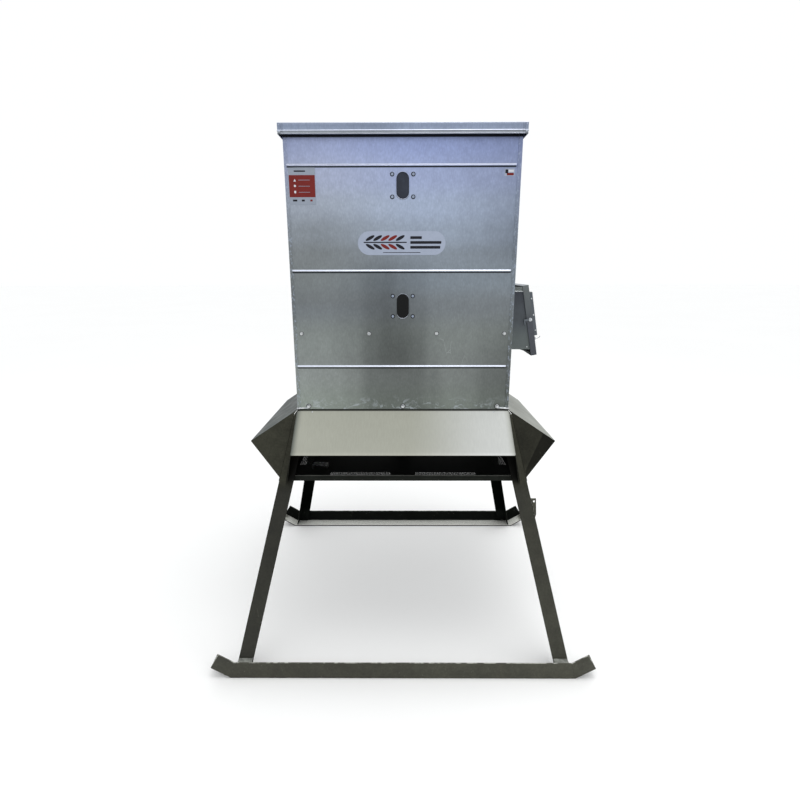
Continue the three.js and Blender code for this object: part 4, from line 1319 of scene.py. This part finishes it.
def box_details():
    """Rivets, hinge screws, the flange that the box stands on the wall with, and its roof caps."""
    rivets, screws, flanges = Solid(), Solid(), Solid()
    for x, z in ((575, 1335), (466, 1420), (466, 1340)):
        for side in (-1, 1):
            dome(rivets, facing((x, side * BOX["half"], z), (0, side, 0)), 3.0, 1.4)
    for up in (-96.0, -48.0, 0.0, 48.0, 96.0):
        for solid, out, along in ((rivets, -50, BOX["half"]), (screws, -11, BOX["door_half"])):
            dome(solid, facing(door_point(out, along + 1.9, up), (0, 1, 0), DOOR_UP), 2.8, 1.2)
    object_of("box_rivets", rivets, "zinc_steel")
    object_of("door_hinge_screws", screws, "zinc_steel", body="door")

    wall = HALF_WIDTH + 0.3
    for side in (-1, 1):
        strip = facing((wall, side * (BOX["half"] + 7.5), 0), RIGHT)
        outline = rounded(14.5, BOX["height"], 2.0, 3, (0, BOX["middle"]))
        flanges.prism(outline, 0, 1.5, strip, chamfer=0.4)
        for step in (-1, 0, 1):
            spot = (wall + 1.5, side * (BOX["half"] + 8), BOX["middle"] + step * BOX["rivet_pitch"])
            dome(flanges, facing(spot, RIGHT), 3.2, 1.6)
    top = rounded(2 * BOX["half"], 13, 2.0, 3, (0, BOX["roof"] + 6))
    flanges.prism(top, 0, 1.5, facing((wall, 0, 0), RIGHT), chamfer=0.4)
    object_of("box_wall_flanges", flanges, "box_enamel")

    back, front = HALF_WIDTH + 2.5, BOX["roof_front"]
    eaves, roof = BOX["eaves"], BOX["roof"]
    cap = [(back, eaves), (front, eaves), (front - 3, roof), (back, roof)]
    hem = [(back, eaves - 3), (front + 1, eaves - 3), (front + 0.5, eaves + 1), (back, eaves + 1)]
    for name, outline, proud, chamfer, finish in (
        ("box_roof_caps", cap, 2.2, 0.5, "roof_cap"),
        ("box_roof_hems", hem, 4.2, 0.8, "aluminium"),
    ):
        solid = Solid()
        for side in (-1, 1):
            shape = outline if side < 0 else [(-x, z) for x, z in outline][::-1]
            place = facing((0, side * BOX["half"], 0), (0, side, 0))
            solid.prism(shape, -0.3, proud, place, chamfer=chamfer)
        object_of(name, solid, finish, "box_enamel")


def timer_details():
    """Bezel, screen and plain marks on the timer's face, and the battery's terminals."""
    front = box_mm("timer")[1].x
    face = facing((front, 0, 0), RIGHT)
    trim, screen, marks = Solid(), Solid(), Solid()
    bezel = ((0, -0.4), (0, 0.9), (0.5, 1.3), (1.9, 1.3), (2.4, 0.9), (2.4, -0.4))
    around = TIMER["screen"]
    rings = [level(rounded(26 + 2 * grow, 20 + 2 * grow, 1.6 + grow, 3, around), z) for grow, z in bezel]
    trim.loft(rings, face, cyclic=True)
    collar = ((0, -0.4), (0, 0.9), (0.5, 1.2), (1.3, 1.2), (1.8, 0.9), (1.8, -0.4))
    for y in TIMER["keys"]:
        key = (y, TIMER["key_z"])
        rings = [level(oval(12.4 + 2 * grow, 12.4 + 2 * grow, key, steps=24), z) for grow, z in collar]
        trim.loft(rings, face, cyclic=True)
        marks.prism(rounded(12, 2, 0.6, 2, (y, TIMER["key_z"] + 12)), -0.2, 0.25, face)
    across, *heights = TIMER["screws"]
    for y in (-across, across):
        for z in heights:
            dome(trim, facing((front, y, z), RIGHT), 2.6, 1.1)
    screen.prism(rounded(25.6, 19.6, 1.2, 3, around), -0.2, 0.5, face)
    marks.prism(rounded(22, 2.4, 0.6, 2, (26, 1544)), -0.2, 0.25, face)
    object_of("timer_trim", trim, "black_plastic")
    object_of("timer_screen", screen, "screen", "black_plastic")
    object_of("timer_marks", marks, "decal_pale", "black_plastic")

    low, high = box_mm("battery")
    middle = (low + high) / 2
    posts, band = Solid(), Solid()
    for side in (-1, 1):
        posts.prism(rounded(7, 12, 1.0, 3, (middle.x, side * 52)), high.z - 0.5, high.z + 7, chamfer=0.8)
    object_of("battery_terminals", posts, "zinc_steel")
    band.prism(rounded(112, 44, 3.0, 4, (0, middle.z)), -0.2, 0.35, facing((high.x, 0, 0), RIGHT))
    object_of("battery_label", band, "decal_pale", "black_plastic")


solar_pieces()
box_details()
timer_details()


# ---------- Caster, hinge and base details ----------
def upright(x, y, z):
    """A place that looks up."""
    return facing((x, y, z), (0, 0, 1), (0, 1, 0))


def caster_fasteners():
    """Bolt and rivets on the spinner, bolts and screws of the motor, and the motor's clamp ring."""
    spinner, bracket = Solid(), Solid()
    hex_bolt(spinner, upright(0, 0, SPINNER["top"]), 9, 4.5, 7.5)
    for x, y in oval(2 * SPINNER["rivet_circle"], 2 * SPINNER["rivet_circle"], turn=math.pi / 4, steps=4):
        dome(spinner, upright(x, y, SPINNER["plate_top"]), 3.2, 1.8)
    object_of("spinner_fasteners", spinner, "zinc_steel", body="spinner")
    for x in (-MOTOR["bolts"][0], MOTOR["bolts"][0]):
        for y in (-MOTOR["bolts"][1], MOTOR["bolts"][1]):
            hex_bolt(bracket, upright(x, y, MOTOR["bracket_top"]), 8, 3.4, 6.5)
    for x, y in oval(2 * MOTOR["screw_circle"], 2 * MOTOR["screw_circle"], turn=0.6, steps=2):
        dome(bracket, upright(x, y, MOTOR["top"]), 3.0, 1.6)
    ring = [(29.2, 0), (30.0, 0.4), (30.0, 4.6), (29.2, 5)]
    bracket.lathe(ring, 40, Matrix.Translation((0, 0, MOTOR["clamp"])))
    object_of("motor_fasteners", bracket, "zinc_steel")


def hinge_rivets():
    """The rows of rivets through the lid hinge's two leaves."""
    for leaf, body, shift, radius, height in (("wall", "frame", 0, 4.2, 2.0), ("lid", "lid", 12, 4.0, 1.8)):
        rivets = Solid()
        face = box_mm(f"lid_hinge_{leaf}_leaf")[0].y + 2
        for x in LID_HINGE["rivets"]:
            dome(rivets, facing((x + shift, face, LID_HINGE[leaf]), REAR), radius, height)
        object_of(f"hinge_{leaf}_rivets", rivets, "zinc_steel", body=body)


def awning_rivets():
    """Two rivets high up on the front awning and two on the rear one."""
    rivets = Solid()
    slope = Vector((0, *AWNING_OUT)).normalized()
    for end in (-1, 1):
        for side in (-1, 1):
            mirror = Vector((side, end, 1))
            dome(rivets, facing(AWNING_RIVET * mirror, slope * mirror), 3.6, 1.6)
    object_of("awning_rivets", rivets, "zinc_steel")


caster_fasteners()
hinge_rivets()
awning_rivets()


# ---------- Stage, light and camera ----------
CAMERA = {  # metres
    "place": (-0.0017, -2.4195, 1.6744),
    "ahead": (-0.00484, 0.96765, -0.25225),
    "up": (0.00047, 0.25225, 0.96766),
}


def stage():
    """A plain pale floor under an even sky, and two soft lamps."""
    corners = [(-60.0, -60.0), (60.0, -60.0), (60.0, 60.0), (-60.0, 60.0)]
    mesh = bpy.data.meshes.new("floor")
    mesh.from_pydata(level(corners, -0.001), [], [(0, 1, 2, 3)])
    s = Shader("floor_paint")
    cloud = s.step(s.noise((0.4, 0.4, 0.4)), 0.3, 0.7, 0.99, 1.0)
    mesh.materials.append(s.finish(s.bright(srgb(254, 254, 253), cloud), 0.9))
    floor = bpy.data.objects.new("floor", mesh)
    bpy.context.scene.collection.objects.link(floor)

    world = bpy.data.worlds.new("studio")
    world.use_nodes = True
    background = world.node_tree.nodes["Background"]
    background.inputs["Color"].default_value = (0.98, 0.99, 1.0, 1.0)
    background.inputs["Strength"].default_value = 1.02
    bpy.context.scene.world = world

    def softbox(name, place, target, size, power):
        light = bpy.data.lights.new(name, "AREA")
        light.shape = "RECTANGLE"
        light.size, light.size_y = size
        light.energy = power
        lamp = bpy.data.objects.new(name, light)
        lamp.location = place
        lamp.rotation_mode = "QUATERNION"
        lamp.rotation_quaternion = (Vector(target) - Vector(place)).to_track_quat("-Z", "Y")
        bpy.context.scene.collection.objects.link(lamp)

    softbox("overhead", (0.6, -0.6, 4.6), (0, 0, 1.0), (2.6, 1.8), 50)
    softbox("right_fill", (4.0, -1.6, 3.4), (0, 0, 1.0), (2.0, 2.0), 9)


def camera():
    """Stands where the photo's camera stood."""
    data = bpy.data.cameras.new("camera")
    data.sensor_width = 36
    data.lens = 22.22
    data.clip_end = 200
    view = bpy.data.objects.new("camera", data)
    ahead, up = (Vector(way).normalized() for way in (CAMERA["ahead"], CAMERA["up"]))
    right = ahead.cross(up).normalized()
    turn = Matrix((right, right.cross(ahead), -ahead)).transposed().to_4x4()
    view.matrix_world = Matrix.Translation(CAMERA["place"]) @ turn
    bpy.context.scene.collection.objects.link(view)
    bpy.context.scene.camera = view


stage()
camera()
bpy.context.scene.view_settings.view_transform = "Standard"
bpy.context.scene.view_settings.look = "None"
